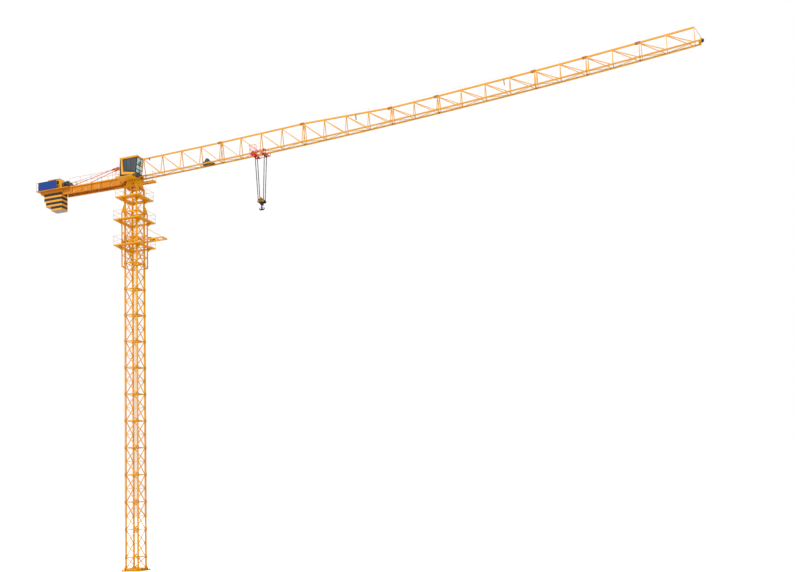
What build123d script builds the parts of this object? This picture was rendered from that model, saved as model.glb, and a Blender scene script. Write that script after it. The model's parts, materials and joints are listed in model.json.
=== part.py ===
"""Flat-top tower crane at one tenth of its real size, in millimetres.

The origin is on the mast axis at the underside of the base frame, +Z is up and the jib
points along +X. The cab side is -Y. One real metre is 100 mm here.
"""

from math import atan2, degrees, hypot, sqrt
import os

from build123d import *

os.makedirs("parts", exist_ok=True)

seat_gap = 0.3            # left between pieces that turn or slide past each other
quarter_turns = (0, 90, 180, 270)
small_round = 10          # sides of a small round bar, pin or roller
large_round = 18          # sides of a sheave or drum

# Mast
mast_pitch = 153.0        # between the centres of neighbouring legs
leg_width = 16.0
section_height = 300.0
section_count = 13
base_bay = 150.0          # height of the short bay under the lowest section
collar_margin = 3.0       # how far the joint blocks stand out of the legs
collar_height = 18.0
mast_bar = 7.0            # diagonals and rings of the mast

# Base frame
base_plate = 10.0         # thickness of the flange that stands on the foundation
base_rim = 30.0           # how far the flange reaches beyond the legs
base_band = 22.0          # height of the band between the feet of the legs
base_band_width = 12.0
base_rib = 4.0            # thickness of the ribs beside each leg
base_rib_height = 60.0

# Landings and ladder inside the mast
landing_width = 100.0
landing_plate = 3.0
landing_seat = 2.0        # how far a landing lies on the rings of the sides
hatch_length = 40.0
hatch_width = 46.0
ladder_stile = 3.0
ladder_width = 34.0

# Climbing cage round the top of the mast
cage_gap = 12.5           # between the mast legs and the cage legs
cage_leg = 11.0
cage_bay = 130.0
cage_bays = 5
cage_low_bays = 2         # bays under the opening where a new section comes in
cage_bar = 5.0
shoulder_plate = 8.0
shoulder_rise = 75.0
shoulder_foot = 10.0

# Jacking beam and cylinder between the mast and the cage
jack_beam_drop = 350.0    # from the top of the mast down to the beam
jack_beam_depth = 22.0
jack_radius = 6.5
jack_length = 200.0
jack_rod_radius = 3.5
jack_rod_length = 60.0

# Platforms round the cage and the tower head
floor_plate = 3.0
cage_floor_reach = 62.0
cage_floor_drops = (410.0, 110.0)
head_floor_rise = 155.0
head_floor_reach = 70.0
bracket_height = 40.0
rail_height = 110.0
rail_bar = 2.4
post_pitch = 160.0

# Beam platform that new mast sections hang from on their way into the cage
feed_drop = 350.0         # from the top of the mast down to the platform
feed_reach = 290.0        # how far it stands out of the cage
feed_width = 90.0
feed_beam = 10.0
feed_beam_depth = 16.0
feed_bar_shares = (0.35, 0.66)   # where the cross-bars lie along the reach
feed_stay = 2.6
feed_stay_rise = 176.0

# Tower head and slewing unit
head_height = 290.0
support_height = 76.0
support_corner = 22.0
support_top_width = 164.0
support_top_corner = 48.0
motor_port = 10.0         # radius of the dark ports beside two corners
motor_port_depth = 14.0
motor_port_rise = 22.8    # of the ports' centres over the tower head
ring_radius = 80.0
ring_height = 12.0
turntable_width = 164.0
turntable_height = 52.0
turntable_corner = 14.0

# Jib: a triangular truss whose lower chords follow one long arc
camber_radius = 79000.0
camber_low_x = -1670.0    # where the arc would be level
jib_rise = 19.4           # height of the arc over the turntable's underside, at the mast axis
node_pitch = 250.0
node_count = 25
first_bay = 44.0          # from the turntable to the first posts
jib_width = 90.0          # between the centres of the lower chords
root_height = 219.0       # between the chords' centre lines, inner sections
tip_height = 161.0        # the same, outer sections
taper_start = 8           # node where the inner height ends
taper_end = 12            # node where the outer height begins
joint_nodes = (4, 8, 12, 14, 18, 20, 22)
top_chord = 14.0
low_chord = 12.0
track_width = 6.0         # flange on each lower chord that the trolley runs on
track_plate = 2.6
jib_bar = 6.5
floor_bar = 4.5
joint_lug = 20.0
lug_margin = 2.5
tip_overhang = 55.0

# Frame over the turntable
apex_leg = 10.0
apex_block = 26.0
apex_block_height = 24.0

# Trolley winch and ropes along the jib
winch_start_x = 890.0
winch_deck_length = 140.0
winch_plate = 3.0
small_drum = 11.0
small_stand_y = 24.0
small_gear_length = 34.0
small_gear_width = 28.0
rope = 2.0
rope_drop = 19.0          # of the hoist rope under the lower chords' centre line
root_sheave = 17.0

# Counter-jib
girder_spacing = 104.0
girder_rise = 36.4        # height of the girders' tops over the turntable's underside
girder_depth = 74.0
girder_root_depth = 34.0
girder_taper = 68.0       # length over which the girders deepen
girder_flange = 22.0
girder_plate = 4.0
girder_length = 868.0
stiffener_count = 6
crossbeam_width = 8.0
crossbeam_depth = 12.0
crossbeam_drop = 8.0
walk_plate = 3.0
deck_plate = 5.0
deck_lap = 100.3          # of the machinery deck over the girders' rear ends
deck_length = 455.0
deck_width = 180.0

# Ballast: slabs that hang by their heads between two rails
ballast_rail_length = 312.0
ballast_rail_depth = 36.0
ballast_rail = 12.0
ledge_depth = 10.0
slab_thickness = 25.0
slab_gap = 0.5
slab_clear = 1.0          # between a slab and the rails it hangs between
slab_width = 110.0
slab_head = 12.0
slab_start = 16.0
slab_depths = (214.0,) * 6 + (159.0,) * 3 + (91.0,)

# Machinery and sign on the deck
cabinet_length = 205.0
cabinet_width = 90.0
cabinet_height = 128.0
cabinet_front_height = 89.6
cabinet_front_slope = 30.8
cabinet_rear_slope = 10.2
cabinet_start = 125.0     # from the front edge of the deck
winch_length = 90.0
winch_width = 110.0
winch_start = 10.0
drum_radius = 24.0
drum_flange = 30.0
drum_length = 77.0
winch_motor_length = 72.0
winch_motor_width = 24.0
winch_motor_height = 48.0
sign_length = 260.0
sign_height = 100.0
sign_start = 165.0
sign_plate = 3.0

# Tie rods of the counter-jib
tie_bar = 5.0
tie_rise = 10.0           # of the rods' feet over the girders
tie_head_y = 8.0
tie_lug = 3.0
tie_foot = 120.3          # from the girders' rear ends to the rods' feet
turnbuckle = 10.0
turnbuckle_length = 60.0
turnbuckle_start = 0.26   # share of the rod's length from the top

# Cab and the platforms beside the turntable
cab_gap = 25.0            # between the turntable and the cab
cab_width = 123.0
cab_length = 225.0        # from the rear wall to the top of the front window
cab_rear = 40.0           # how far the cab reaches behind the mast axis
cab_drop = 16.0           # of the cab's underside under the turntable's underside
cab_height = 206.0
cab_wall = 3.0
cab_roof_plate = 12.0
cab_roof_margin = 4.0
cab_roof_taper = 12.0     # lean of the roof's edges in degrees
foot_window_rise = 18.0   # of the knee over the floor, where the front window starts
foot_window_reach = 53.0  # of the knee ahead of the floor's front edge
front_lean = 17.0         # how far the front window's top stands ahead of the knee
window_frame = 9.0
window_sill = 50.0        # of the side windows over the floor
window_rear = 42.0        # from the rear wall to the side windows
glass = 1.6
cab_floor_plate = 8.0
cab_floor_rear = 65.0     # of the cab's platform behind the cab
side_floor_width = 80.0
side_floor_rear = 80.0
side_floor_front = 190.0
side_floor_beam = 8.0

# Trolley, falls and hook
trolley_x = 1614.0
trolley_length = 170.0
trolley_foot = 37.0       # depth of the side plates under the chords' centre line
trolley_brow = 14.4       # their height over it beside each wheel
trolley_plate = 3.0
wheel_radius = 9.0
wheel_width = 5.0
wheel_clear = 1.0         # between a wheel and the plates beside it
wheel_base = 130.0
trolley_drop = 34.0       # from the arc down to the trolley's sheave axles
trolley_sheave = 11.0
trolley_sheave_width = 5.0
trolley_beam = 10.0
fall_top_x = 56.0
fall_top_y = 28.0
basket_length = 70.0
basket_width = 48.0
basket_rail = 100.0
fall_length = 504.3
block_sheave = 31.0
block_sheave_width = 6.0
block_sheave_y = 22.0
block_axle = 5.0
cheek_plate = 3.0
cheek_radius = 22.3
cheek_drop = 44.0
crosshead_width = 26.0
crosshead_depth = 13.0
hook_plate = 8.0
shank = 9.0
shank_length = 24.0
horn_radius = 17.0
throat_radius = 9.5


def save(piece, name):
    """Labels one finished sub-part and writes it."""
    piece.part.label = name
    export_step(piece.part, f"parts/{name}.step")


def bar(start, end, width, depth=None, side=(0, 1, 0)):
    """A straight bar of rectangular section whose depth lies along side."""
    run = Vector(*end) - Vector(*start)
    across = run.cross(Vector(*side))
    with BuildPart() as piece:
        with BuildSketch(Plane(origin=start, x_dir=across, z_dir=run)):
            Rectangle(width, depth or width)
        extrude(amount=run.length)
    return piece.part


def flat_bar(start, end, width):
    """One bar of the lattice being sketched, with both ends run on to be trimmed."""
    (start_u, start_v), (end_u, end_v) = start, end
    turn = degrees(atan2(end_v - start_v, end_u - start_u))
    with Locations(Location(((start_u + end_u) / 2, (start_v + end_v) / 2, 0), (0, 0, turn))):
        Rectangle(hypot(end_u - start_u, end_v - start_v) + 2 * width, width)


def lattice_side(runs, width, clear, foot, top, plane):
    """A flat lattice of bars between two legs that leave a clear width between them."""
    with BuildSketch(plane) as lattice:
        for start, end in runs:
            flat_bar(start, end, width)
        with Locations((0, (foot + top) / 2)):
            Rectangle(clear, top - foot, mode=Mode.INTERSECT)
    with BuildPart() as side:
        extrude(lattice.sketch, amount=width / 2, both=True)
    return side.part


def railing(corners, level, height=rail_height, pitch=post_pitch):
    """Posts and a top rail that stand on a floor along a run of corners."""
    found = []
    for (start_x, start_y), (end_x, end_y) in zip(corners, corners[1:]):
        length = hypot(end_x - start_x, end_y - start_y)
        count = max(1, round(length / pitch))
        for k in range(count + 1):
            x = start_x + (end_x - start_x) * k / count
            y = start_y + (end_y - start_y) * k / count
            found.append(bar((x, y, level), (x, y, level + height), rail_bar))
        rail_z = level + height - rail_bar / 2
        found.append(bar((start_x, start_y, rail_z), (end_x, end_y, rail_z), rail_bar, side=(0, 0, 1)))
    return found


# Levels and widths that follow from the sizes above

mast_half = mast_pitch / 2
mast_inner = mast_half - leg_width / 2
mast_outer = mast_half + leg_width / 2
mast_top = base_bay + section_height * section_count
ring_levels = [base_bay + section_height * k for k in range(section_count)]
cage_pitch = mast_pitch + leg_width + cage_leg + 2 * cage_gap
cage_half = cage_pitch / 2
cage_outer = cage_half + cage_leg / 2
cage_inner = cage_half - cage_leg / 2
cage_top = mast_top
cage_foot = mast_top - cage_bay * cage_bays
head_top = mast_top + head_height
support_top = head_top + support_height
table_foot = support_top + seat_gap + ring_height
table_top = table_foot + turntable_height
table_half = turntable_width / 2

# Base frame: a flanged ring, a band between the feet of the legs, and ribs

with BuildPart() as base_frame:
    with BuildSketch():
        Rectangle(2 * (mast_outer + base_rim), 2 * (mast_outer + base_rim))
        Rectangle(2 * (mast_inner - base_rim), 2 * (mast_inner - base_rim), mode=Mode.SUBTRACT)
    extrude(amount=base_plate)
    with BuildSketch(Plane.XY.offset(base_plate)):
        Rectangle(2 * mast_outer, 2 * mast_outer)
        Rectangle(2 * (mast_outer - base_band_width), 2 * (mast_outer - base_band_width), mode=Mode.SUBTRACT)
        with GridLocations(mast_pitch, mast_pitch, 2, 2):
            Rectangle(leg_width, leg_width, mode=Mode.SUBTRACT)
    extrude(amount=base_band)
with BuildPart() as base_rib_pair:
    with BuildSketch(Plane.YZ):
        with BuildLine():
            Polyline((-mast_outer, base_plate), (-mast_outer, base_plate + base_rib_height),
                     (base_rib - mast_outer - base_rim, base_plate), close=True)
        make_face()
    extrude(amount=base_rib / 2, both=True)
with BuildPart() as base_ribs:
    with Locations((-mast_half, 0, 0), (mast_half, 0, 0)):
        add(base_rib_pair.part)
with BuildPart() as base:
    add(base_frame.part)
    for turn in quarter_turns:
        add(base_ribs.part, rotation=(0, 0, turn))
save(base, "base_frame")

# Mast legs, with joint blocks that stand out on the two outer faces of each leg

with BuildPart() as mast_legs:
    with BuildSketch(Plane.XY.offset(base_plate)):
        with GridLocations(mast_pitch, mast_pitch, 2, 2):
            Rectangle(leg_width, leg_width)
    extrude(amount=mast_top - base_plate)
    with BuildSketch(*[Plane.XY.offset(z - collar_height / 2) for z in ring_levels]):
        with GridLocations(mast_pitch + collar_margin, mast_pitch + collar_margin, 2, 2):
            Rectangle(leg_width + collar_margin, leg_width + collar_margin)
    extrude(amount=collar_height)
save(mast_legs, "mast_legs")

# Sides of the mast: two diagonals to a section, their point on the left leg

mast_runs = [((mast_inner, base_plate + base_band), (-mast_inner, base_bay))]
for level in ring_levels:
    middle = level + section_height / 2
    mast_runs.append(((-mast_inner, level), (mast_inner, level)))
    mast_runs.append(((mast_inner, level), (-mast_inner, middle)))
    mast_runs.append(((-mast_inner, middle), (mast_inner, level + section_height)))
mast_runs.append(((-mast_inner, mast_top - mast_bar / 2), (mast_inner, mast_top - mast_bar / 2)))
mast_side = lattice_side(mast_runs, mast_bar, 2 * mast_inner, base_plate + base_band, mast_top,
                         Plane.XZ.offset(mast_half))
for turn, name in zip(quarter_turns, ("near", "front", "far", "rear")):
    with BuildPart() as turned_side:
        add(mast_side, rotation=(0, 0, turn))
    save(turned_side, f"mast_side_{name}")

# Landings that lie on the rings, their hatches all in one line for the ladder

landing_length = 2 * (mast_half - mast_bar / 2 + landing_seat)
hatch_x = landing_width / 2 - hatch_length / 2 - ladder_stile
with BuildPart() as mast_landings:
    with BuildSketch(*[Plane.XY.offset(z + mast_bar / 2) for z in ring_levels]):
        Rectangle(landing_width, landing_length)
        with Locations((-hatch_x, 0)):
            Rectangle(hatch_length, hatch_width, mode=Mode.SUBTRACT)
    extrude(amount=landing_plate)
save(mast_landings, "mast_landings")

ladder_x = -hatch_x + hatch_length / 2 - seat_gap - ladder_stile / 2
with BuildPart() as mast_ladder:
    with BuildSketch(Plane.XY.offset(base_plate)):
        with Locations((ladder_x, -ladder_width / 2), (ladder_x, ladder_width / 2)):
            Rectangle(ladder_stile, ladder_stile)
    extrude(amount=mast_top - base_plate)
    with Locations(*[(ladder_x, 0, z - section_height / 4) for z in (*ring_levels[1:], mast_top)]):
        Box(ladder_stile / 2, ladder_width, ladder_stile / 2)
save(mast_ladder, "mast_ladder")

# Climbing cage: legs, lattice sides with the feed opening in front, and shoulders

with BuildPart() as cage_legs:
    with BuildSketch(Plane.XY.offset(cage_foot)):
        with GridLocations(cage_pitch, cage_pitch, 2, 2):
            Rectangle(cage_leg, cage_leg)
    extrude(amount=cage_top - cage_foot)
save(cage_legs, "cage_legs")


def cage_runs(bays):
    """Rings and one diagonal to a bay, from the foot of the cage up."""
    found = []
    for k in range(bays):
        low = cage_foot + cage_bar / 2 + cage_bay * k
        lean = cage_inner if k % 2 else -cage_inner
        found.append(((-cage_inner, low), (cage_inner, low)))
        found.append(((-lean, low), (lean, low + cage_bay)))
    last = cage_foot + cage_bay * bays - cage_bar / 2
    found.append(((-cage_inner, last), (cage_inner, last)))
    return found


cage_plane = Plane.XZ.offset(cage_half)
cage_side = lattice_side(cage_runs(cage_bays), cage_bar, 2 * cage_inner, cage_foot, cage_top, cage_plane)
top_ring = ((-cage_inner, cage_top - cage_bar / 2), (cage_inner, cage_top - cage_bar / 2))
cage_front = lattice_side([*cage_runs(cage_low_bays), top_ring], cage_bar, 2 * cage_inner,
                          cage_foot, cage_top, cage_plane)
cage_faces = (cage_side, cage_front, cage_side, cage_side)
for turn, face, name in zip(quarter_turns, cage_faces, ("near", "front", "far", "rear")):
    with BuildPart() as turned_side:
        add(face, rotation=(0, 0, turn))
    save(turned_side, f"cage_side_{name}")

leg_corner = mast_outer * sqrt(2)
cage_corner = cage_half * sqrt(2)
with BuildPart() as shoulder:
    with BuildSketch(Plane.XZ):
        with BuildLine():
            Polyline(
                (leg_corner - shoulder_plate, cage_top + shoulder_rise),
                (leg_corner - shoulder_plate, cage_top + cage_leg),
                (cage_corner - shoulder_foot / 2, cage_top),
                (cage_corner + shoulder_foot / 2, cage_top),
                (leg_corner + shoulder_foot / 2, cage_top + shoulder_rise),
                close=True,
            )
        make_face()
    extrude(amount=shoulder_plate / 2, both=True)
with BuildPart() as cage_shoulders:
    for turn in quarter_turns:
        add(shoulder.part, rotation=(0, 0, turn + 45))
    with Locations((0, 0, mast_top)):
        with GridLocations(mast_pitch, mast_pitch, 2, 2):
            Box(leg_width, leg_width, 2 * head_height, mode=Mode.SUBTRACT)
save(cage_shoulders, "cage_shoulders")

# Jacking beam between the cage legs, with its cylinder

jack_y = -(mast_outer + cage_inner) / 2 - collar_margin / 2
jack_level = mast_top - jack_beam_drop
jack_depth = 2 * (cage_half - cage_bar / 2 + jack_y)
with BuildPart() as climbing_gear:
    with Locations((0, jack_y, jack_level)):
        Box(2 * cage_inner, jack_depth, jack_beam_depth)
    with BuildSketch(Plane.XY.offset(jack_level - jack_length)):
        with Locations((0, jack_y)):
            RegularPolygon(jack_radius, small_round)
    extrude(amount=jack_length)
    with BuildSketch(Plane.XY.offset(jack_level - jack_length - jack_rod_length)):
        with Locations((0, jack_y)):
            RegularPolygon(jack_rod_radius, small_round)
    extrude(amount=jack_rod_length)
save(climbing_gear, "climbing_gear")


# Floors round the cage and the tower head, each with brackets, and their railings

def ring_floor(level, inner, reach, bracket_x):
    """A square walkway round a square tower, on brackets that stand against its legs."""
    outer = inner + reach
    with BuildPart() as bracket_pair:
        with BuildSketch(Plane.YZ):
            with BuildLine():
                Polyline((-inner, level), (-outer + rail_bar, level), (-inner, level - bracket_height),
                         close=True)
            make_face()
        extrude(amount=floor_plate / 2, both=True)
    with BuildPart() as floor:
        with BuildSketch(Plane.XY.offset(level)):
            Rectangle(2 * outer, 2 * outer)
            Rectangle(2 * inner, 2 * inner, mode=Mode.SUBTRACT)
        extrude(amount=floor_plate)
        for turn in quarter_turns:
            for x in (-bracket_x, bracket_x):
                with Locations(Location((0, 0, 0), (0, 0, turn)) * Location((x, 0, 0))):
                    add(bracket_pair.part)
    return floor.part


head_level = mast_top + head_floor_rise
gate_half = feed_width / 2 + 2 * feed_beam
floors = [(mast_top - drop, cage_outer, cage_floor_reach, cage_half) for drop in cage_floor_drops]
floors.append((head_level, mast_outer, head_floor_reach, mast_half))
for (level, inner, reach, bracket_x), name in zip(floors, ("cage_floor_1", "cage_floor_2", "head_floor")):
    edge = inner + reach - rail_bar / 2
    gate = gate_half if name == "cage_floor_1" else 0
    corners = ((edge, gate), (edge, edge), (-edge, edge), (-edge, -edge), (edge, -edge), (edge, -gate))
    rails = railing(corners, level + floor_plate)
    walkway = ring_floor(level, inner, reach, bracket_x)
    with BuildPart() as floor:
        add(walkway)
        add(rails)
    save(floor, name)

# Feed platform in front of the cage's opening, hung from two stays

feed_level = mast_top - feed_drop
feed_end = cage_outer + feed_reach
feed_half = feed_width / 2
stay_foot = feed_end - feed_beam * 2
feed_stays = [bar((cage_outer, side * cage_half, feed_level + feed_stay_rise),
                  (stay_foot, side * feed_half, feed_level + feed_beam_depth / 2), feed_stay)
              for side in (-1, 1)]
with BuildPart() as feed_platform:
    with Locations(((cage_outer + feed_end) / 2, -feed_half, feed_level),
                   ((cage_outer + feed_end) / 2, feed_half, feed_level)):
        Box(feed_reach, feed_beam, feed_beam_depth)
    with Locations((cage_outer + feed_beam / 2, 0, feed_level)):
        Box(feed_beam, 2 * cage_outer, feed_beam_depth / 2)
    with Locations(*[(cage_outer + feed_reach * share, 0, feed_level) for share in feed_bar_shares]):
        Box(feed_beam, feed_width, feed_beam_depth / 2)
    with Locations((feed_end - feed_beam, 0, feed_level)):
        Box(2 * feed_beam, feed_width + feed_beam, feed_beam_depth)
    add(feed_stays)
    with Locations((cage_outer - cage_leg / 2, 0, feed_level)):
        Box(cage_leg, 4 * cage_outer, 4 * feed_stay_rise, mode=Mode.SUBTRACT)
save(feed_platform, "feed_platform")

# Tower head: the last short piece of mast, over the cage

with BuildPart() as head_legs:
    with BuildSketch(Plane.XY.offset(mast_top)):
        with GridLocations(mast_pitch, mast_pitch, 2, 2):
            Rectangle(leg_width, leg_width)
    extrude(amount=head_height)
save(head_legs, "head_legs")

head_foot_ring, head_top_ring = mast_top + mast_bar / 2, head_top - mast_bar / 2
head_runs = [((-mast_inner, head_foot_ring), (mast_inner, head_level)),
             ((mast_inner, head_level), (-mast_inner, head_top_ring))]
for level in (head_foot_ring, head_level, head_top_ring):
    head_runs.append(((-mast_inner, level), (mast_inner, level)))
head_side = lattice_side(head_runs, mast_bar, 2 * mast_inner, mast_top, head_top, Plane.XZ.offset(mast_half))
with BuildPart() as head_sides:
    for turn in quarter_turns:
        add(head_side, rotation=(0, 0, turn))
save(head_sides, "head_sides")


# Slewing support, from the square head to the ring, with two motor ports beside each port corner

def cut_square(width, corner, level):
    """A square with cut corners."""
    with BuildSketch(Plane.XY.offset(level)) as outline:
        Rectangle(width, width)
        chamfer(outline.vertices(), corner)
    return outline.sketch


port_level = head_top + motor_port_rise
with BuildPart() as slewing_support:
    loft([cut_square(2 * mast_outer, support_corner, head_top),
          cut_square(support_top_width, support_top_corner, support_top)], ruled=True)
    for sense in (-1, 1):
        with BuildSketch(Plane.XZ.offset(sense * mast_outer)):
            with Locations((sense * mast_half / 2, port_level)):
                RegularPolygon(motor_port, small_round)
        extrude(amount=-sense * motor_port_depth, mode=Mode.SUBTRACT)
        with BuildSketch(Plane.YZ.offset(sense * mast_outer)):
            with Locations((-sense * mast_half / 2, port_level)):
                RegularPolygon(motor_port, small_round)
        extrude(amount=-sense * motor_port_depth, mode=Mode.SUBTRACT)
save(slewing_support, "slewing_support")

with BuildPart() as slewing_ring:
    with BuildSketch(Plane.XY.offset(support_top + seat_gap)):
        Circle(ring_radius)
    extrude(amount=ring_height)
save(slewing_ring, "slewing_ring")

# Turntable, and the frame on it that carries both jibs

with BuildPart() as turntable:
    extrude(cut_square(turntable_width, turntable_corner, table_foot), amount=turntable_height)
save(turntable, "turntable")

centre_z = table_foot + jib_rise + sqrt(camber_radius**2 - camber_low_x**2)


def arc_z(x):
    """Height of the lower chords' centre line at one station along the jib."""
    return centre_z - sqrt(camber_radius**2 - (x - camber_low_x) ** 2)


apex_z = arc_z(0) + root_height - apex_block_height / 4
apex_legs = []
for foot_x in (-table_half + apex_leg, table_half - apex_leg):
    for foot_y in (-jib_width / 2, jib_width / 2):
        apex_legs.append(bar((foot_x, foot_y, table_top - apex_leg), (0, 0, apex_z), apex_leg))
with BuildPart() as apex_frame:
    add(apex_legs)
    with Locations((0, 0, apex_z)):
        Box(apex_block, apex_block, apex_block_height)
    with Locations((0, 0, table_foot)):
        Box(2 * turntable_width, 2 * turntable_width, 2 * turntable_height, mode=Mode.SUBTRACT)
save(apex_frame, "apex_frame")

# Jib chords: the lower ones bend a little between the nodes, so that each run is straight

first_node_x = table_half + first_bay
half_width = jib_width / 2
half_low = low_chord / 2
half_top = top_chord / 2
half_bar = jib_bar / 2


def node_x(node):
    """Station of one node of the jib."""
    return first_node_x + node_pitch * node


def top_z(node):
    """Height of the top chord's centre line at one node."""
    share = min(max((node - taper_start) / (taper_end - taper_start), 0), 1)
    return arc_z(node_x(node)) + root_height + (tip_height - root_height) * share


jib_root_x = table_half + seat_gap
jib_end_x = node_x(node_count - 1) + tip_overhang
bend_stations = [jib_root_x] + [node_x(k) + node_pitch / 2 for k in range(node_count - 1)] + [jib_end_x]


def low_band(bottom, top, stations, y):
    """The side view of a band that follows the arc, between two heights over it."""
    with BuildSketch(Plane.XZ.offset(-y)) as band:
        with BuildLine():
            Polyline(*[(x, arc_z(x) + top) for x in stations],
                     *[(x, arc_z(x) + bottom) for x in reversed(stations)], close=True)
        make_face()
    return band.sketch


low_chords = {}
for side, name in ((-1, "near"), (1, "far")):
    track_y = side * (half_width + half_low + track_width / 2)
    with BuildPart() as jib_chord:
        extrude(low_band(-half_low, half_low, bend_stations, side * half_width), amount=half_low, both=True)
        extrude(low_band(-half_low, track_plate - half_low, bend_stations, track_y),
                amount=track_width / 2, both=True)
        for node in joint_nodes:
            with Locations((node_x(node), side * (half_width - lug_margin / 4), arc_z(node_x(node)))):
                Box(joint_lug, low_chord - lug_margin / 2, low_chord + 2 * lug_margin)
    low_chords[name] = jib_chord
    save(jib_chord, f"jib_chord_{name}")

top_stations = sorted({0, node_count - 1, taper_start, taper_end, *joint_nodes})
top_line = [(apex_block / 2 + seat_gap, apex_z)] + [(node_x(k), top_z(k)) for k in top_stations]
with BuildPart() as jib_top_chord:
    with BuildSketch(Plane.XZ):
        with BuildLine():
            Polyline(*[(x, z + half_top) for x, z in top_line],
                     *[(x, z - half_top) for x, z in reversed(top_line)], close=True)
        make_face()
    extrude(amount=half_top, both=True)
    for node in joint_nodes:
        with Locations((node_x(node), 0, top_z(node))):
            Box(joint_lug, top_chord - lug_margin, top_chord + 2 * lug_margin)
save(jib_top_chord, "jib_top_chord")


# Sloping faces of the jib: at each node a post, and a diagonal down towards the tip

def face_bars(side):
    """Posts and diagonals of one face, joined in pairs at the top chord."""
    foot_y = side * half_width
    head_y = side * (half_bar + seat_gap / 2)
    found = []
    for node in range(node_count):
        x, next_x = node_x(node), node_x(node) + node_pitch - jib_bar - half_bar
        head = Vector(x, head_y, top_z(node) - half_top + half_bar)
        foot = Vector(x, foot_y, arc_z(x))
        next_foot = Vector(next_x, foot_y, arc_z(next_x))
        outward = tuple((next_foot - head).cross(foot - head))
        found.append(bar(tuple(head), tuple(foot), jib_bar, side=outward))
        if node + 1 < node_count:
            found.append(bar(tuple(head), tuple(next_foot), jib_bar, side=outward))
        if node in joint_nodes:
            beside = Vector(joint_lug, 0, 0)
            found.append(bar(tuple(head + beside), tuple(foot + beside), jib_bar, side=outward))
    return found


for side, name in ((-1, "near"), (1, "far")):
    lattice = face_bars(side)
    with BuildPart() as jib_face:
        add(lattice)
        add(low_chords[name].part, mode=Mode.SUBTRACT)
        add(jib_top_chord.part, mode=Mode.SUBTRACT)
    save(jib_face, f"jib_face_{name}")

floor_clear = half_width - half_low
floor_runs = []
for node in range(node_count):
    x = node_x(node)
    floor_runs.append(bar((x, -floor_clear, arc_z(x)), (x, floor_clear, arc_z(x)), floor_bar,
                          side=(0, 0, 1)))
floor_sways = []
for node in range(node_count - 1):
    sway = half_width if node % 2 else -half_width
    start_x, end_x = node_x(node) - floor_bar, node_x(node + 1) + floor_bar
    floor_sways.append(bar((start_x, sway, arc_z(start_x)), (end_x, -sway, arc_z(end_x)), floor_bar,
                           side=(0, 0, 1)))
with BuildPart() as jib_floor_face:
    add(floor_runs)
    add(floor_sways)
    with Locations(((first_node_x + jib_end_x) / 2, 0, arc_z(jib_end_x / 2))):
        Box(2 * jib_end_x, 2 * floor_clear, 2 * node_pitch, mode=Mode.INTERSECT)
save(jib_floor_face, "jib_floor_face")

# Jib tip: end beam, a raised stop for the trolley and the rope's anchor block

tip_z = arc_z(jib_end_x)
with BuildPart() as jib_tip:
    with Locations((jib_end_x - low_chord, 0, tip_z)):
        Box(2 * low_chord, 2 * floor_clear, low_chord)
    with Locations((jib_end_x - low_chord / 2, 0, tip_z + low_chord)):
        Box(low_chord, 2 * floor_clear - low_chord, low_chord * 3)
    with Locations((jib_end_x - 2 * low_chord, 0, tip_z)):
        Box(2 * low_chord, low_chord, rope_drop + low_chord, align=(Align.MIN, Align.CENTER, Align.MAX))
    with BuildSketch(Plane.XZ):
        with Locations((jib_end_x + half_low, tip_z + low_chord)):
            RegularPolygon(2 * low_chord - half_low, large_round)
    extrude(amount=half_low, both=True)
save(jib_tip, "jib_tip")

# Trolley winch on a deck between the chords

def chord_plane(x, rise):
    """A plane that lies along the arc at one station, so high over the chords' centre line."""
    along = (x - camber_low_x) / camber_radius
    upright = Vector(-along, 0, sqrt(1 - along**2))
    return Plane(origin=Vector(x, 0, arc_z(x)) + upright * rise, x_dir=(upright.Z, 0, along), z_dir=upright)


winch_plane = chord_plane(winch_start_x + winch_deck_length / 2, half_low + seat_gap)
small_drum_x = winch_deck_length / 5
small_drum_rise = winch_plate + small_drum + rail_bar
with BuildPart(winch_plane) as trolley_winch:
    Box(winch_deck_length, jib_width, winch_plate, align=(Align.CENTER, Align.CENTER, Align.MIN))
    with Locations((small_drum_x, -small_stand_y, 0), (small_drum_x, small_stand_y, 0)):
        Box(small_drum, winch_plate, small_drum_rise + winch_plate,
            align=(Align.CENTER, Align.CENTER, Align.MIN))
    with Locations((-winch_deck_length / 4, 0, 0)):
        Box(small_gear_length, small_gear_width, small_drum_rise,
            align=(Align.CENTER, Align.CENTER, Align.MIN))
    with BuildSketch(Plane(origin=winch_plane.from_local_coords((small_drum_x, 0, small_drum_rise)),
                           x_dir=winch_plane.x_dir, z_dir=(0, 1, 0))):
        RegularPolygon(small_drum, large_round)
    extrude(amount=small_stand_y, both=True)
save(trolley_winch, "trolley_winch")

# Counter-jib: two plate girders with a shallow root, cross-beams and a walkway between them

girder_start_x = -table_half - seat_gap
girder_end_x = girder_start_x - girder_length
girder_top = table_foot + girder_rise
girder_foot = girder_top - girder_depth
girder_half = girder_spacing / 2
tie_foot_x = girder_end_x + tie_foot


def girder_view(inset):
    """The side view of a girder, drawn in by the thickness of its flanges."""
    with BuildSketch(Plane.XZ) as view:
        with BuildLine():
            Polyline((girder_start_x, girder_top), (girder_end_x, girder_top), (girder_end_x, girder_foot),
                     (girder_start_x - girder_taper, girder_foot),
                     (girder_start_x, girder_top - girder_root_depth), close=True)
        make_face()
        if inset:
            offset(amount=-inset, kind=Kind.INTERSECTION)
    return view.sketch


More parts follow.
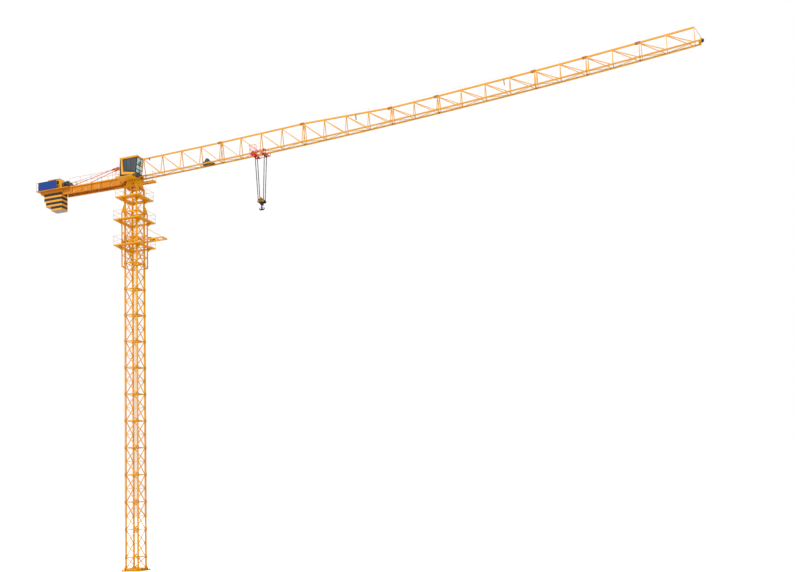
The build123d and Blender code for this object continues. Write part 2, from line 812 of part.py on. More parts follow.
stiffener_pitch = (girder_length - girder_taper) / stiffener_count
with BuildPart() as girder:
    extrude(girder_view(0), amount=girder_flange / 2, both=True)
    extrude(girder_view(girder_plate), amount=girder_flange / 2, both=True, mode=Mode.SUBTRACT)
    extrude(girder_view(0), amount=girder_plate / 2, both=True)
    for k in range(stiffener_count):
        stiffener_x = girder_start_x - girder_taper - stiffener_pitch * k
        with Locations((stiffener_x, 0, (girder_top + girder_foot) / 2)):
            Box(girder_plate, girder_flange, girder_depth - girder_plate)
with BuildPart() as tie_ear:
    with BuildSketch(Plane.XZ.offset(tie_lug / 2)):
        with Locations((tie_foot_x, girder_top + tie_rise / 2)):
            Rectangle(2 * tie_rise, tie_rise)
        with Locations((tie_foot_x, girder_top + tie_rise)):
            RegularPolygon(tie_rise, small_round)
        with Locations((tie_foot_x, girder_top - tie_rise)):
            Rectangle(4 * tie_rise, 2 * tie_rise, mode=Mode.SUBTRACT)
    extrude(amount=-tie_lug)
tie_ear_y = tie_bar / 2 + seat_gap + tie_lug / 2
deck_start_x = girder_end_x + deck_lap
deck_end_x = deck_start_x - deck_length
walk_start_x = girder_start_x - girder_flange
walk_edge = girder_half + (girder_flange - rail_bar) / 2
for side, name in ((-1, "counter_girder_near"), (1, "counter_girder_far")):
    walk_rails = railing(((walk_start_x, side * walk_edge), (deck_start_x + rail_bar, side * walk_edge)),
                         girder_top)
    with BuildPart() as placed_girder:
        with Locations((0, side * girder_half, 0)):
            add(girder.part)
        with Locations((0, side * (girder_half + tie_ear_y), 0)):
            add(tie_ear.part)
        add(walk_rails)
    save(placed_girder, name)

crossbeam_top = girder_top - crossbeam_drop
crossbeam_start_x = girder_start_x - girder_taper - stiffener_pitch / 2
crossbeam_spots = [crossbeam_start_x - stiffener_pitch * k for k in range(stiffener_count)]
with BuildPart() as counter_crossbeams:
    with Locations(*[(x, 0, crossbeam_top) for x in crossbeam_spots]):
        Box(crossbeam_width, girder_spacing - girder_plate, crossbeam_depth,
            align=(Align.CENTER, Align.CENTER, Align.MAX))
save(counter_crossbeams, "counter_crossbeams")

walk_half = girder_half - girder_flange / 2 - seat_gap
with BuildPart() as counter_walkway:
    with Locations(((walk_start_x + deck_start_x) / 2, 0, crossbeam_top)):
        Box(walk_start_x - deck_start_x, 2 * walk_half, walk_plate,
            align=(Align.CENTER, Align.CENTER, Align.MIN))
save(counter_walkway, "counter_walkway")

# Ballast frame behind the girders, with ledges that the slabs' heads rest on

ballast_start_x = girder_end_x
ballast_end_x = girder_end_x - ballast_rail_length
rail_foot = girder_top - ballast_rail_depth
ledge_top = rail_foot + ledge_depth
with BuildPart() as ballast_frame:
    with BuildSketch(Plane.YZ.offset(ballast_end_x)):
        for side in (-1, 1):
            with Locations((side * girder_half, girder_top - ballast_rail_depth / 2)):
                Rectangle(ballast_rail, ballast_rail_depth)
            with Locations((side * (girder_half - ballast_rail), rail_foot + ledge_depth / 2)):
                Rectangle(ballast_rail, ledge_depth)
    extrude(amount=ballast_rail_length)
    for x in (ballast_start_x - ballast_rail / 2, ballast_end_x + ballast_rail / 2):
        with Locations((x, 0, girder_top - ballast_rail_depth / 2)):
            Box(ballast_rail, girder_spacing, ballast_rail_depth)
save(ballast_frame, "ballast_frame")

# Ballast slabs: a head rests on the ledges, and a neck passes down between them

neck_half = girder_half - 1.5 * ballast_rail - slab_clear
head_half = girder_half - ballast_rail / 2 - 2 * slab_clear
slab_top = rail_foot - slab_clear
with BuildPart() as ballast_slabs:
    for k, depth in enumerate(slab_depths):
        slab_x = ballast_start_x - slab_start - slab_thickness * (k + 1) + slab_gap
        with BuildSketch(Plane.YZ.offset(slab_x)):
            with BuildLine():
                Polyline((0, slab_top - depth), (slab_width / 2, slab_top - depth), (slab_width / 2, slab_top),
                         (neck_half, slab_top), (neck_half, ledge_top), (head_half, ledge_top),
                         (head_half, ledge_top + slab_head), (0, ledge_top + slab_head), close=True)
            make_face()
            mirror(about=Plane.YZ)
        extrude(amount=slab_thickness - slab_gap)
save(ballast_slabs, "ballast_slabs")

# Machinery deck with its winch, cabinet and sign board

deck_foot = girder_top + seat_gap
deck_top = deck_foot + deck_plate
deck_edge = deck_width / 2 - rail_bar / 2
deck_rails = railing(((deck_end_x + rail_bar, -deck_edge), (deck_end_x + rail_bar, deck_edge),
                      (deck_start_x - rail_bar, deck_edge), (deck_start_x - rail_bar, walk_edge)), deck_top)
with BuildPart() as counter_deck:
    with Locations(((deck_start_x + deck_end_x) / 2, 0, deck_foot)):
        Box(deck_length, deck_width, deck_plate, align=(Align.CENTER, Align.CENTER, Align.MIN))
    for side in (-1, 1):
        with Locations(((deck_start_x + deck_end_x) / 2, side * (deck_width - deck_plate) / 2, deck_top)):
            Box(deck_length, deck_plate, 2 * deck_plate, align=(Align.CENTER, Align.CENTER, Align.MAX))
    add(deck_rails)
save(counter_deck, "counter_deck")

cabinet_front_x = deck_start_x - cabinet_start
cabinet_rear_x = cabinet_front_x - cabinet_length
with BuildPart() as control_cabinet:
    with BuildSketch(Plane.XZ):
        with BuildLine():
            Polyline((cabinet_rear_x, deck_top), (cabinet_front_x, deck_top),
                     (cabinet_front_x, deck_top + cabinet_front_height),
                     (cabinet_front_x - cabinet_front_slope, deck_top + cabinet_height),
                     (cabinet_rear_x + cabinet_rear_slope, deck_top + cabinet_height), close=True)
        make_face()
    extrude(amount=cabinet_width / 2, both=True)
save(control_cabinet, "control_cabinet")

drum_x = deck_start_x - winch_start - winch_length / 2
drum_z = deck_top + drum_flange + deck_plate
with BuildPart() as hoist_winch:
    with Locations((drum_x, 0, deck_top)):
        Box(winch_length, winch_width, deck_plate, align=(Align.CENTER, Align.CENTER, Align.MIN))
    for y in (-winch_width / 2 + deck_plate, winch_width / 4):
        with Locations((drum_x, y, deck_top)):
            Box(winch_length / 2, deck_plate, drum_flange + 2 * deck_plate,
                align=(Align.CENTER, Align.CENTER, Align.MIN))
    with Locations((drum_x, winch_width / 2 - drum_flange / 2, deck_top)):
        Box(winch_motor_length, winch_motor_width, winch_motor_height,
            align=(Align.CENTER, Align.CENTER, Align.MIN))
    with BuildSketch(Plane.XZ.offset(winch_width / 2 - deck_plate)):
        with Locations((drum_x, drum_z)):
            RegularPolygon(drum_radius, large_round)
    extrude(amount=-drum_length)
    for y in (winch_width / 2 - 2.5 * deck_plate, -winch_width / 4 + 1.5 * deck_plate):
        with BuildSketch(Plane.XZ.offset(y)):
            with Locations((drum_x, drum_z)):
                RegularPolygon(drum_flange, large_round)
        extrude(amount=deck_plate / 4, both=True)
save(hoist_winch, "hoist_winch")

sign_rear_x = deck_start_x - sign_start - sign_length
with BuildPart() as sign_board:
    with Locations((sign_rear_x, sign_plate / 2 - deck_width / 2, deck_top)):
        Box(sign_length, sign_plate, sign_height, align=(Align.MIN, Align.CENTER, Align.MIN))
save(sign_board, "sign_board")

# Tie rods with turnbuckles, from the apex down to the girders

tie_rod_bars = []
for side in (-1, 1):
    head = Vector(-apex_block / 2, side * tie_head_y, apex_z)
    foot = Vector(tie_foot_x, side * girder_half, girder_top + tie_rise)
    run = (foot - head).normalized()
    buckle = head + (foot - head) * turnbuckle_start
    tie_rod_bars.append(bar(tuple(foot), tuple(head), tie_bar))
    tie_rod_bars.append(bar(tuple(buckle), tuple(buckle + run * turnbuckle_length), turnbuckle))
with BuildPart() as tie_rods:
    add(tie_rod_bars)
    with Locations((0, 0, apex_z)):
        Box(apex_block + 2 * seat_gap, 4 * apex_block, 4 * apex_block_height, mode=Mode.SUBTRACT)
save(tie_rods, "tie_rods")

# Cab: a hollow housing with a leaning front and a foot window under it

cab_foot = table_foot - cab_drop
cab_top = cab_foot + cab_height
cab_inner_y = -table_half - cab_gap
cab_outer_y = cab_inner_y - cab_width
cab_middle_y = (cab_inner_y + cab_outer_y) / 2
cab_rear_x = -cab_rear
cab_front_x = cab_rear_x + cab_length
knee_x, knee_z = cab_front_x - front_lean, cab_foot + foot_window_rise
floor_front_x = knee_x - foot_window_reach


def cab_view(inset, y):
    """The cab's side view at one distance from the jib, drawn in by an even margin."""
    with BuildSketch(Plane.XZ.offset(-y)) as view:
        with BuildLine():
            Polyline((cab_rear_x, cab_foot), (floor_front_x, cab_foot), (knee_x, knee_z),
                     (cab_front_x, cab_top), (cab_rear_x, cab_top), close=True)
        make_face()
        if inset:
            offset(amount=-inset, kind=Kind.INTERSECTION)
    return view.sketch


def side_window(inset, y):
    """A side window, its front edge along the leaning front."""
    sill, head = cab_foot + window_sill, cab_top - 2 * window_frame
    lean_at_sill = front_lean * (cab_top - sill) / (cab_top - knee_z)
    lean_at_head = front_lean * (cab_top - head) / (cab_top - knee_z)
    front = cab_front_x - window_frame
    with BuildSketch(Plane.XZ.offset(-y)) as view:
        with BuildLine():
            Polyline((cab_rear_x + window_rear, sill), (front - lean_at_sill, sill),
                     (front - lean_at_head, head), (cab_rear_x + window_rear, head), close=True)
        make_face()
        if inset:
            offset(amount=-inset, kind=Kind.INTERSECTION)
    return view.sketch


def end_windows(inset):
    """The prisms of the front, rear and foot windows."""
    width = cab_width - 2 * (window_frame + inset)
    head = cab_top - 2 * window_frame - inset
    with BuildPart() as prisms:
        for start_x, length, low in ((knee_x - cab_wall, 2 * front_lean, knee_z + window_frame + inset),
                                     (cab_rear_x - cab_wall, 3 * cab_wall, cab_foot + 2 * window_sill + inset)):
            with Locations((start_x, cab_middle_y, low)):
                Box(length, width, head - low, align=(Align.MIN, Align.CENTER, Align.MIN))
        with Locations(((floor_front_x + knee_x - cab_wall) / 2, cab_middle_y, cab_foot - cab_wall)):
            Box(foot_window_reach - window_frame - 2 * inset, width, foot_window_rise + cab_wall,
                align=(Align.CENTER, Align.CENTER, Align.MIN))
    return prisms.part


end_openings = end_windows(0)
end_panes = end_windows(seat_gap)
with BuildPart() as cab_shell:
    extrude(cab_view(0, cab_inner_y), amount=cab_width)
    extrude(cab_view(cab_wall, cab_inner_y - cab_wall), amount=cab_width - 2 * cab_wall, mode=Mode.SUBTRACT)
    extrude(side_window(0, cab_inner_y + cab_wall), amount=cab_width + 2 * cab_wall, mode=Mode.SUBTRACT)
    add(end_openings, mode=Mode.SUBTRACT)
save(cab_shell, "cab_shell")

with BuildPart() as cab_roof:
    with BuildSketch(Plane.XY.offset(cab_top)):
        with Locations(((cab_rear_x + cab_front_x) / 2, cab_middle_y)):
            Rectangle(cab_length + 2 * cab_roof_margin, cab_width + 2 * cab_roof_margin)
    extrude(amount=cab_roof_plate, taper=cab_roof_taper)
save(cab_roof, "cab_roof")

glass_in = (cab_wall - glass) / 2
with BuildPart() as curved_panes:
    extrude(cab_view(glass_in, cab_inner_y), amount=cab_width)
    extrude(cab_view(glass_in + glass, cab_inner_y), amount=cab_width, mode=Mode.SUBTRACT)
    add(end_panes, mode=Mode.INTERSECT)
with BuildPart() as cab_glass:
    add(curved_panes.part)
    for y in (cab_inner_y - glass_in, cab_outer_y + glass_in + glass):
        extrude(side_window(seat_gap, y), amount=glass)
save(cab_glass, "cab_glass")

cab_floor_start = cab_rear_x - cab_floor_rear
cab_edge_low, cab_edge_high = cab_outer_y + rail_bar / 2, cab_inner_y - rail_bar / 2
cab_rails = railing(((cab_rear_x - rail_bar, cab_edge_low), (cab_floor_start + rail_bar, cab_edge_low),
                     (cab_floor_start + rail_bar, cab_edge_high), (cab_rear_x - rail_bar, cab_edge_high)),
                    cab_foot)
with BuildPart() as cab_platform:
    with Locations((cab_floor_start, cab_middle_y, cab_foot)):
        Box(floor_front_x - cab_floor_start, cab_width, cab_floor_plate,
            align=(Align.MIN, Align.CENTER, Align.MAX))
    add(cab_rails)
save(cab_platform, "cab_platform")

bracket_spots = (-cab_rear / 2, cab_rear)
with BuildPart() as cab_brackets:
    with Locations(*[(x, cab_inner_y, table_foot + turntable_height / 2) for x in bracket_spots]):
        Box(apex_leg, cab_gap, turntable_height / 2, align=(Align.CENTER, Align.MIN, Align.CENTER))
save(cab_brackets, "cab_brackets")

# Platform on the far side of the turntable, for the way into the jib

side_outer_y = table_half + side_floor_width
side_edge = side_outer_y - rail_bar / 2
side_level = table_foot + side_floor_beam + floor_plate
side_start_y = table_half + rail_bar
side_rear_x, side_front_x = rail_bar - side_floor_rear, side_floor_front - rail_bar
side_rails = railing(((side_rear_x, side_start_y), (side_rear_x, side_edge), (side_front_x, side_edge),
                      (side_front_x, side_start_y)), side_level)
with BuildPart() as side_platform:
    with Locations((-side_floor_rear, table_half, side_level)):
        Box(side_floor_rear + side_floor_front, side_floor_width, floor_plate,
            align=(Align.MIN, Align.MIN, Align.MAX))
    with Locations(*[(x, table_half, table_foot) for x in (-table_half / 2, table_half / 2)]):
        Box(side_floor_beam, side_floor_width, side_floor_beam, align=(Align.CENTER, Align.MIN, Align.MIN))
    with Locations((-side_floor_rear, side_outer_y, table_foot)):
        Box(side_floor_rear + side_floor_front, side_floor_beam, side_floor_beam,
            align=(Align.MIN, Align.MAX, Align.MIN))
    add(side_rails)
save(side_platform, "side_platform")

# Trolley, leaning with the arc at its station

trolley_plane = chord_plane(trolley_x, 0)
wheel_z = -half_low + track_plate + seat_gap + wheel_radius
wheel_y = half_width + half_low + seat_gap + wheel_clear + wheel_width / 2
plate_y = wheel_y + wheel_width / 2 + wheel_clear + trolley_plate / 2
sheave_x = fall_top_x - trolley_sheave
beam_x = trolley_length / 2 - trolley_beam


def trolley_across(y, z=0.0):
    """A plane across the trolley, facing the cab's side."""
    return Plane(origin=trolley_plane.from_local_coords((0, y, z)), x_dir=trolley_plane.x_dir, z_dir=(0, -1, 0))


basket_end = -trolley_length / 2 + basket_length
basket_y = -plate_y - trolley_plate / 2 - basket_width
basket_corners = ((basket_end, -plate_y - trolley_plate), (basket_end, basket_y + rail_bar),
                  (rail_bar - trolley_length / 2, basket_y + rail_bar),
                  (rail_bar - trolley_length / 2, -plate_y - trolley_plate))
basket_rails = railing(basket_corners, -trolley_drop, basket_rail, basket_length)
with BuildPart() as basket:
    with Locations((-trolley_length / 2, -plate_y, -trolley_drop)):
        Box(basket_length + rail_bar, basket_width, floor_plate, align=(Align.MIN, Align.MAX, Align.MAX))
    add(basket_rails)
with BuildPart(trolley_plane) as trolley_frame:
    for y in (-plate_y, plate_y):
        with BuildSketch(trolley_across(y)):
            with BuildLine():
                Polyline((-trolley_length / 2, -trolley_foot), (-trolley_length / 2, wheel_radius),
                         (-wheel_base / 2 + wheel_radius, trolley_brow), (0, wheel_radius / 2),
                         (wheel_base / 2 - wheel_radius, trolley_brow), (trolley_length / 2, wheel_radius),
                         (trolley_length / 2, -trolley_foot), close=True)
            make_face()
        extrude(amount=trolley_plate / 2, both=True)
    with Locations((-beam_x, 0, -trolley_drop), (beam_x, 0, -trolley_drop)):
        Box(trolley_beam, 2 * plate_y, trolley_beam)
    with Locations((-sheave_x, 0, -trolley_drop), (sheave_x, 0, -trolley_drop)):
        Box(trolley_beam / 2, 2 * plate_y, trolley_beam / 2)
    with Locations((0, 0, 0)):
        add(basket.part)
save(trolley_frame, "trolley_frame")

hub_y = plate_y - trolley_plate / 2 - seat_gap
with BuildPart() as trolley_wheels:
    for side in (-1, 1):
        with BuildSketch(trolley_across(side * wheel_y, wheel_z)):
            with Locations((-wheel_base / 2, 0), (wheel_base / 2, 0)):
                RegularPolygon(wheel_radius, large_round, rotation=90)
        extrude(amount=wheel_width / 2, both=True)
        with BuildSketch(trolley_across(side * (hub_y + wheel_y) / 2, wheel_z)):
            with Locations((-wheel_base / 2, 0), (wheel_base / 2, 0)):
                RegularPolygon(wheel_radius / 2, small_round)
        extrude(amount=(hub_y - wheel_y) / 2, both=True)
save(trolley_wheels, "trolley_wheels")

with BuildPart() as trolley_sheaves:
    for side in (-1, 1):
        with BuildSketch(trolley_across(side * fall_top_y, -trolley_drop)):
            with Locations((-sheave_x, 0), (sheave_x, 0)):
                RegularPolygon(trolley_sheave - 1.5 * rope, large_round)
        extrude(amount=trolley_sheave_width / 2, both=True)
    add(trolley_frame.part, mode=Mode.SUBTRACT)
save(trolley_sheaves, "trolley_sheaves")

# Falls from the trolley to the hook block

fall_top_z = arc_z(trolley_x) - trolley_drop
block_z = fall_top_z - fall_length
falls = []
for side_x in (-1, 1):
    for side_y in (-1, 1):
        falls.append(bar((trolley_x + side_x * fall_top_x, side_y * fall_top_y, fall_top_z),
                         (trolley_x + side_x * block_sheave, side_y * block_sheave_y, block_z), rope))
with BuildPart() as hoist_falls:
    add(falls)
save(hoist_falls, "hoist_falls")

# Hook block: three cheeks with the sheaves between them, and a crosshead that the hook turns in

cheek_y = block_sheave_y + block_sheave_width / 2 + seat_gap + cheek_plate / 2
crosshead_z = block_z - cheek_drop
hook_top = crosshead_z - crosshead_depth / 2 - seat_gap
with BuildPart() as block_plates:
    for y in (-cheek_y, 0, cheek_y):
        with BuildSketch(Plane.XZ.offset(-y)):
            with Locations((trolley_x, block_z)):
                RegularPolygon(cheek_radius, large_round)
            with Locations((trolley_x, crosshead_z)):
                Rectangle(crosshead_width, crosshead_depth)
            make_hull()
        extrude(amount=cheek_plate / 2, both=True)
    with Locations((trolley_x, 0, crosshead_z)):
        Box(crosshead_width, 2 * cheek_y + cheek_plate, crosshead_depth)
    with BuildSketch(Plane.XZ):
        with Locations((trolley_x, block_z)):
            RegularPolygon(block_axle, small_round)
    extrude(amount=cheek_y + cheek_plate + rail_bar, both=True)
save(block_plates, "block_plates")

with BuildPart() as block_sheaves:
    for y in (-block_sheave_y, block_sheave_y):
        with BuildSketch(Plane.XZ.offset(-y)):
            with Locations((trolley_x, block_z)):
                RegularPolygon(block_sheave - 0.75 * rope, 2 * large_round)
                RegularPolygon(block_axle + seat_gap, small_round, mode=Mode.SUBTRACT)
        extrude(amount=block_sheave_width / 2, both=True)
save(block_sheaves, "block_sheaves")

# Ramshorn hook: two open throats beside a shank

horn_z = hook_top - shank_length - horn_radius
horn_x = throat_radius + shank / 4
with BuildPart() as crane_hook:
    with BuildSketch(Plane.XZ):
        with Locations((trolley_x, (hook_top + horn_z) / 2)):
            Rectangle(shank, hook_top - horn_z)
        with Locations((trolley_x - horn_x, horn_z), (trolley_x + horn_x, horn_z)):
            RegularPolygon(horn_radius, large_round)
        with Locations((trolley_x, horn_z - horn_radius / 2)):
            Rectangle(2 * horn_x, horn_radius)
        with Locations((trolley_x - horn_x, horn_z + shank / 4), (trolley_x + horn_x, horn_z + shank / 4)):
            RegularPolygon(throat_radius, large_round, mode=Mode.SUBTRACT)
        for side in (-1, 1):
            with Locations((trolley_x + side * (horn_x - shank / 4), horn_z + horn_radius)):
                Rectangle(2 * throat_radius, 1.6 * horn_radius, mode=Mode.SUBTRACT)
        with Locations((trolley_x, (hook_top + horn_z) / 2)):
            Rectangle(shank, hook_top - horn_z)
    extrude(amount=hook_plate / 2, both=True)
save(crane_hook, "crane_hook")

# Sheave at the jib's root, on an axle between the chords

rope_start_x = jib_root_x + first_bay / 2
root_axle_z = arc_z(rope_start_x) - rope_drop + root_sheave + seat_gap
with BuildPart() as root_sheaves:
    with BuildSketch(Plane.XZ):
        with Locations((rope_start_x, root_axle_z)):
            RegularPolygon(root_sheave, large_round)
    extrude(amount=rope, both=True)
    with Locations((rope_start_x, 0, root_axle_z)):
        Box(jib_bar, 2 * floor_clear, jib_bar)
save(root_sheaves, "root_sheave")

# Hoist rope along the jib, from the root to the anchor at the tip

rope_line = [rope_start_x] + bend_stations[3:-3:4] + [jib_end_x - 2 * low_chord - seat_gap]
with BuildPart() as hoist_rope:
    extrude(low_band(-rope_drop - rope, -rope_drop, rope_line, 0), amount=rope / 2, both=True)
save(hoist_rope, "hoist_rope")
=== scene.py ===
import json
from math import asin, cos, pi, radians, sin, sqrt

import bmesh
import bpy
from mathutils import Matrix, Vector


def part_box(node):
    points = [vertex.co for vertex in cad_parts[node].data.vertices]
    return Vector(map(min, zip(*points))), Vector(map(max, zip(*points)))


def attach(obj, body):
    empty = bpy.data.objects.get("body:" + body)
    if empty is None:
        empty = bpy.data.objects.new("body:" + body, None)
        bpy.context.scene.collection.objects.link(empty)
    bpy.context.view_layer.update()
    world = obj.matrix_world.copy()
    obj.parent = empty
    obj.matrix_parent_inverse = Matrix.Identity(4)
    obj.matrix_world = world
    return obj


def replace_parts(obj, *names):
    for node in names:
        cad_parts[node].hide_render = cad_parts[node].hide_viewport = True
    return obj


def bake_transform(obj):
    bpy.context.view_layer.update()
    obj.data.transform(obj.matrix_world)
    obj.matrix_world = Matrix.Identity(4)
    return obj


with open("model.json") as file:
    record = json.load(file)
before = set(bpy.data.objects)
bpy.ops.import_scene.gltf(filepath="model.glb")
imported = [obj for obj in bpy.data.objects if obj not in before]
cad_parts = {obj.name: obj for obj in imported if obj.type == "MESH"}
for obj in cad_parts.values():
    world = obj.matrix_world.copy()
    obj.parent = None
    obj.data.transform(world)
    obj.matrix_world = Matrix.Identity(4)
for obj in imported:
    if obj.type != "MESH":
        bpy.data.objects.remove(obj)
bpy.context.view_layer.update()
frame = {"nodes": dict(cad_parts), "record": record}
nodes = frame["nodes"]
slot_of = {part["node"]: part["material_slot"] for part in frame["record"]["subparts"]}
ALONG, ACROSS, UP = Vector((1, 0, 0)), Vector((0, 1, 0)), Vector((0, 0, 1))


def add_object(name, data):
    """A new object in the scene."""
    thing = bpy.data.objects.new(name, data)
    bpy.context.scene.collection.objects.link(thing)
    return thing


def heading(azimuth, height):
    """The direction at an azimuth and a height, both in degrees."""
    azimuth, height = radians(azimuth), radians(height)
    return Vector((cos(azimuth) * cos(height), sin(azimuth) * cos(height), sin(height)))


# The camera stands on the cab's side, low, and looks up past the mast at the jib

PHOTO_WIDTH, PHOTO_HEIGHT = 795, 572
FOCAL_PIXELS = 936.0
CENTRE_X, CENTRE_Y = 357.6, 392.7      # where the lens axis meets the picture, in pixels
SENSOR = 36.0
CAMERA_SPOT = Vector((5.8897, -8.9325, 0.6108))
CAMERA_AZIMUTH, CAMERA_TILT, CAMERA_ROLL = 109.94, 6.98, -1.907      # in degrees


def add_camera():
    """The camera at the photograph's viewing angle, its shift as large as the framing needs."""
    ahead = heading(CAMERA_AZIMUTH, CAMERA_TILT)
    level_right = ahead.cross(UP).normalized()
    roll = radians(CAMERA_ROLL)
    right = level_right * cos(roll) + level_right.cross(ahead) * sin(roll)
    lens = bpy.data.cameras.new("camera")
    lens.sensor_fit = "HORIZONTAL"
    lens.sensor_width = SENSOR
    lens.lens = FOCAL_PIXELS * SENSOR / PHOTO_WIDTH
    lens.shift_x = (PHOTO_WIDTH / 2 - CENTRE_X) / PHOTO_WIDTH
    lens.shift_y = (CENTRE_Y - PHOTO_HEIGHT / 2) / PHOTO_WIDTH
    lens.clip_end = 200
    camera = add_object("camera", lens)
    turn = Matrix((right, right.cross(ahead), -ahead)).transposed().to_4x4()
    camera.matrix_world = Matrix.Translation(CAMERA_SPOT) @ turn
    bpy.context.scene.camera = camera


add_camera()

# Colours and node helpers


def srgb(code):
    """A colour as linear numbers, from six hex digits."""
    values = [int(code[k:k + 2], 16) / 255 for k in (0, 2, 4)]
    return (*[v / 12.92 if v <= 0.04045 else ((v + 0.055) / 1.055) ** 2.4 for v in values], 1)


class Nodes:
    """Builds one material's nodes with short calls."""

    def __init__(self, name):
        self.material = bpy.data.materials.new(name)
        self.material.use_nodes = True
        self.tree = self.material.node_tree
        self.shader = self.tree.nodes["Principled BSDF"]
        self.place = self.add("ShaderNodeTexCoord").outputs["Object"]

    def add(self, kind, **settings):
        """One node, with its settings and its inputs' values or links."""
        node = self.tree.nodes.new(kind)
        for key, value in settings.items():
            if key in node.inputs:
                self.feed(node, key, value)
            else:
                setattr(node, key, value)
        return node

    def feed(self, node, key, value):
        """Links or sets one input of a node."""
        if isinstance(value, bpy.types.NodeSocket):
            self.tree.links.new(value, node.inputs[key])
        else:
            node.inputs[key].default_value = value

    def noise(self, scale, detail=4, stretch=(1, 1, 1)):
        """Noise from 0 to 1, at so many patches a metre."""
        place = self.add("ShaderNodeMapping", Vector=self.place, Scale=stretch).outputs["Vector"]
        node = self.add("ShaderNodeTexNoise", Vector=place, Scale=scale, Detail=detail, Roughness=0.55)
        return node.outputs["Fac"]

    def ramp(self, value, low, high, start=0.0, end=1.0):
        """Maps a value from one range onto another, kept inside it."""
        node = self.add("ShaderNodeMapRange", Value=value)
        for key, number in zip(("From Min", "From Max", "To Min", "To Max"), (low, high, start, end)):
            self.feed(node, key, number)
        return node.outputs["Result"]

    def mix(self, share, first, second):
        """A colour between two colours."""
        node = self.add("ShaderNodeMix", data_type="RGBA")
        for socket, value in ((0, share), (6, first), (7, second)):
            self.feed(node, socket, value)
        return node.outputs[2]

    def maths(self, operation, first, second=0.0):
        """One sum on two values."""
        node = self.add("ShaderNodeMath", operation=operation)
        self.feed(node, 0, first)
        self.feed(node, 1, second)
        return node.outputs["Value"]

    def edges(self, radius):
        """1 along the edges of a shape and 0 on its faces."""
        node = self.add("ShaderNodeVectorMath", operation="DOT_PRODUCT")
        self.feed(node, 0, self.add("ShaderNodeBevel", Radius=radius, samples=4).outputs["Normal"])
        self.feed(node, 1, self.add("ShaderNodeNewGeometry").outputs["Normal"])
        return self.ramp(node.outputs["Value"], 0.99, 0.9)

    def bump(self, height, strength, distance):
        """Links a height to the shader's normal."""
        node = self.add("ShaderNodeBump", Height=height, Strength=strength, Distance=distance)
        self.feed(self.shader, "Normal", node.outputs["Normal"])

    def finish(self, colour, roughness, metallic=0.0, coat=0.0):
        """Sets the shader's own sockets."""
        self.feed(self.shader, "Base Color", colour)
        self.feed(self.shader, "Roughness", roughness)
        self.feed(self.shader, "Metallic", metallic)
        if coat:
            self.feed(self.shader, "Coat Weight", coat)
            self.feed(self.shader, "Coat Roughness", 0.25)
        return self.material


def paint(name, main, faded, grime, bare, gloss=0.42, coat=0.15, wear=0.6):
    """Weathered gloss paint: faded patches, grime in streaks, and bare metal on the edges."""
    n = Nodes(name)
    patches = n.ramp(n.noise(9, 5), 0.35, 0.7)
    streaks = n.ramp(n.noise(26, 6, stretch=(1, 1, 0.12)), 0.55, 0.8, 0, 0.5)
    chips = n.maths("MULTIPLY", n.edges(0.0006), n.ramp(n.noise(220, 3), 0.5, 0.62, 0, wear))
    colour = n.mix(patches, srgb(main), srgb(faded))
    colour = n.mix(streaks, colour, srgb(grime))
    colour = n.mix(chips, colour, srgb(bare))
    n.bump(n.noise(420, 3), 0.12, 0.0004)
    n.feed(n.shader, "Specular IOR Level", 0.3)
    return n.finish(colour, n.ramp(n.noise(60, 4), 0.3, 0.7, gloss - 0.08, gloss + 0.12), coat=coat)


def steel(name, main, dark, rough_low, rough_high, metallic=0.85):
    """Greased or worn bare steel."""
    n = Nodes(name)
    colour = n.mix(n.ramp(n.noise(35, 6), 0.35, 0.7), srgb(main), srgb(dark))
    n.bump(n.noise(300, 4), 0.2, 0.0004)
    return n.finish(colour, n.ramp(n.noise(80, 4), 0.3, 0.7, rough_low, rough_high), metallic=metallic)


BALLAST_TOP, BALLAST_BAND = 4.4277, 0.02675
YELLOW_SHARE = 0.57


def striped_ballast(name, yellow, navy):
    """Concrete slabs painted in level bands, yellow and navy by turns, with the underside left bare."""
    n = Nodes(name)
    height = n.add("ShaderNodeSeparateXYZ", Vector=n.place).outputs["Z"]
    from_top = n.maths("DIVIDE", n.maths("SUBTRACT", BALLAST_TOP, height), BALLAST_BAND)
    worn_edge = n.maths("MULTIPLY", n.ramp(n.noise(140, 4), 0.3, 0.7, -1, 1), 0.035)
    part = n.maths("FRACT", n.maths("MULTIPLY", n.maths("ADD", from_top, worn_edge), 0.5))
    colour = n.mix(n.maths("GREATER_THAN", part, YELLOW_SHARE), srgb(navy), srgb(yellow))
    dirt = n.ramp(n.noise(30, 6, stretch=(1, 1, 0.2)), 0.55, 0.8, 0, 0.2)
    colour = n.mix(dirt, colour, srgb("6A5A3C"))
    facing = n.add("ShaderNodeSeparateXYZ", Vector=n.add("ShaderNodeNewGeometry").outputs["Normal"])
    concrete = n.mix(n.noise(70, 6), srgb("B9B2A2"), srgb("8F887A"))
    colour = n.mix(n.ramp(facing.outputs["Z"], -0.5, -0.7), colour, concrete)
    n.bump(n.noise(260, 5), 0.5, 0.0006)
    return n.finish(colour, n.ramp(n.noise(50, 4), 0.3, 0.7, 0.5, 0.75))


def tinted_glass(name, tint):
    """Tinted safety glass with a little dust."""
    n = Nodes(name)
    dust = n.ramp(n.noise(14, 4, stretch=(1, 1, 0.3)), 0.4, 0.8, 0, 0.16)
    n.feed(n.shader, "IOR", 1.5)
    n.feed(n.shader, "Transmission Weight", 0.35)
    n.bump(n.noise(20, 2), 0.02, 0.0005)
    return n.finish(n.mix(dust, srgb(tint), srgb("9FAAA8")), n.ramp(n.noise(120, 3), 0.3, 0.7, 0.05, 0.16),
                    coat=0.5)


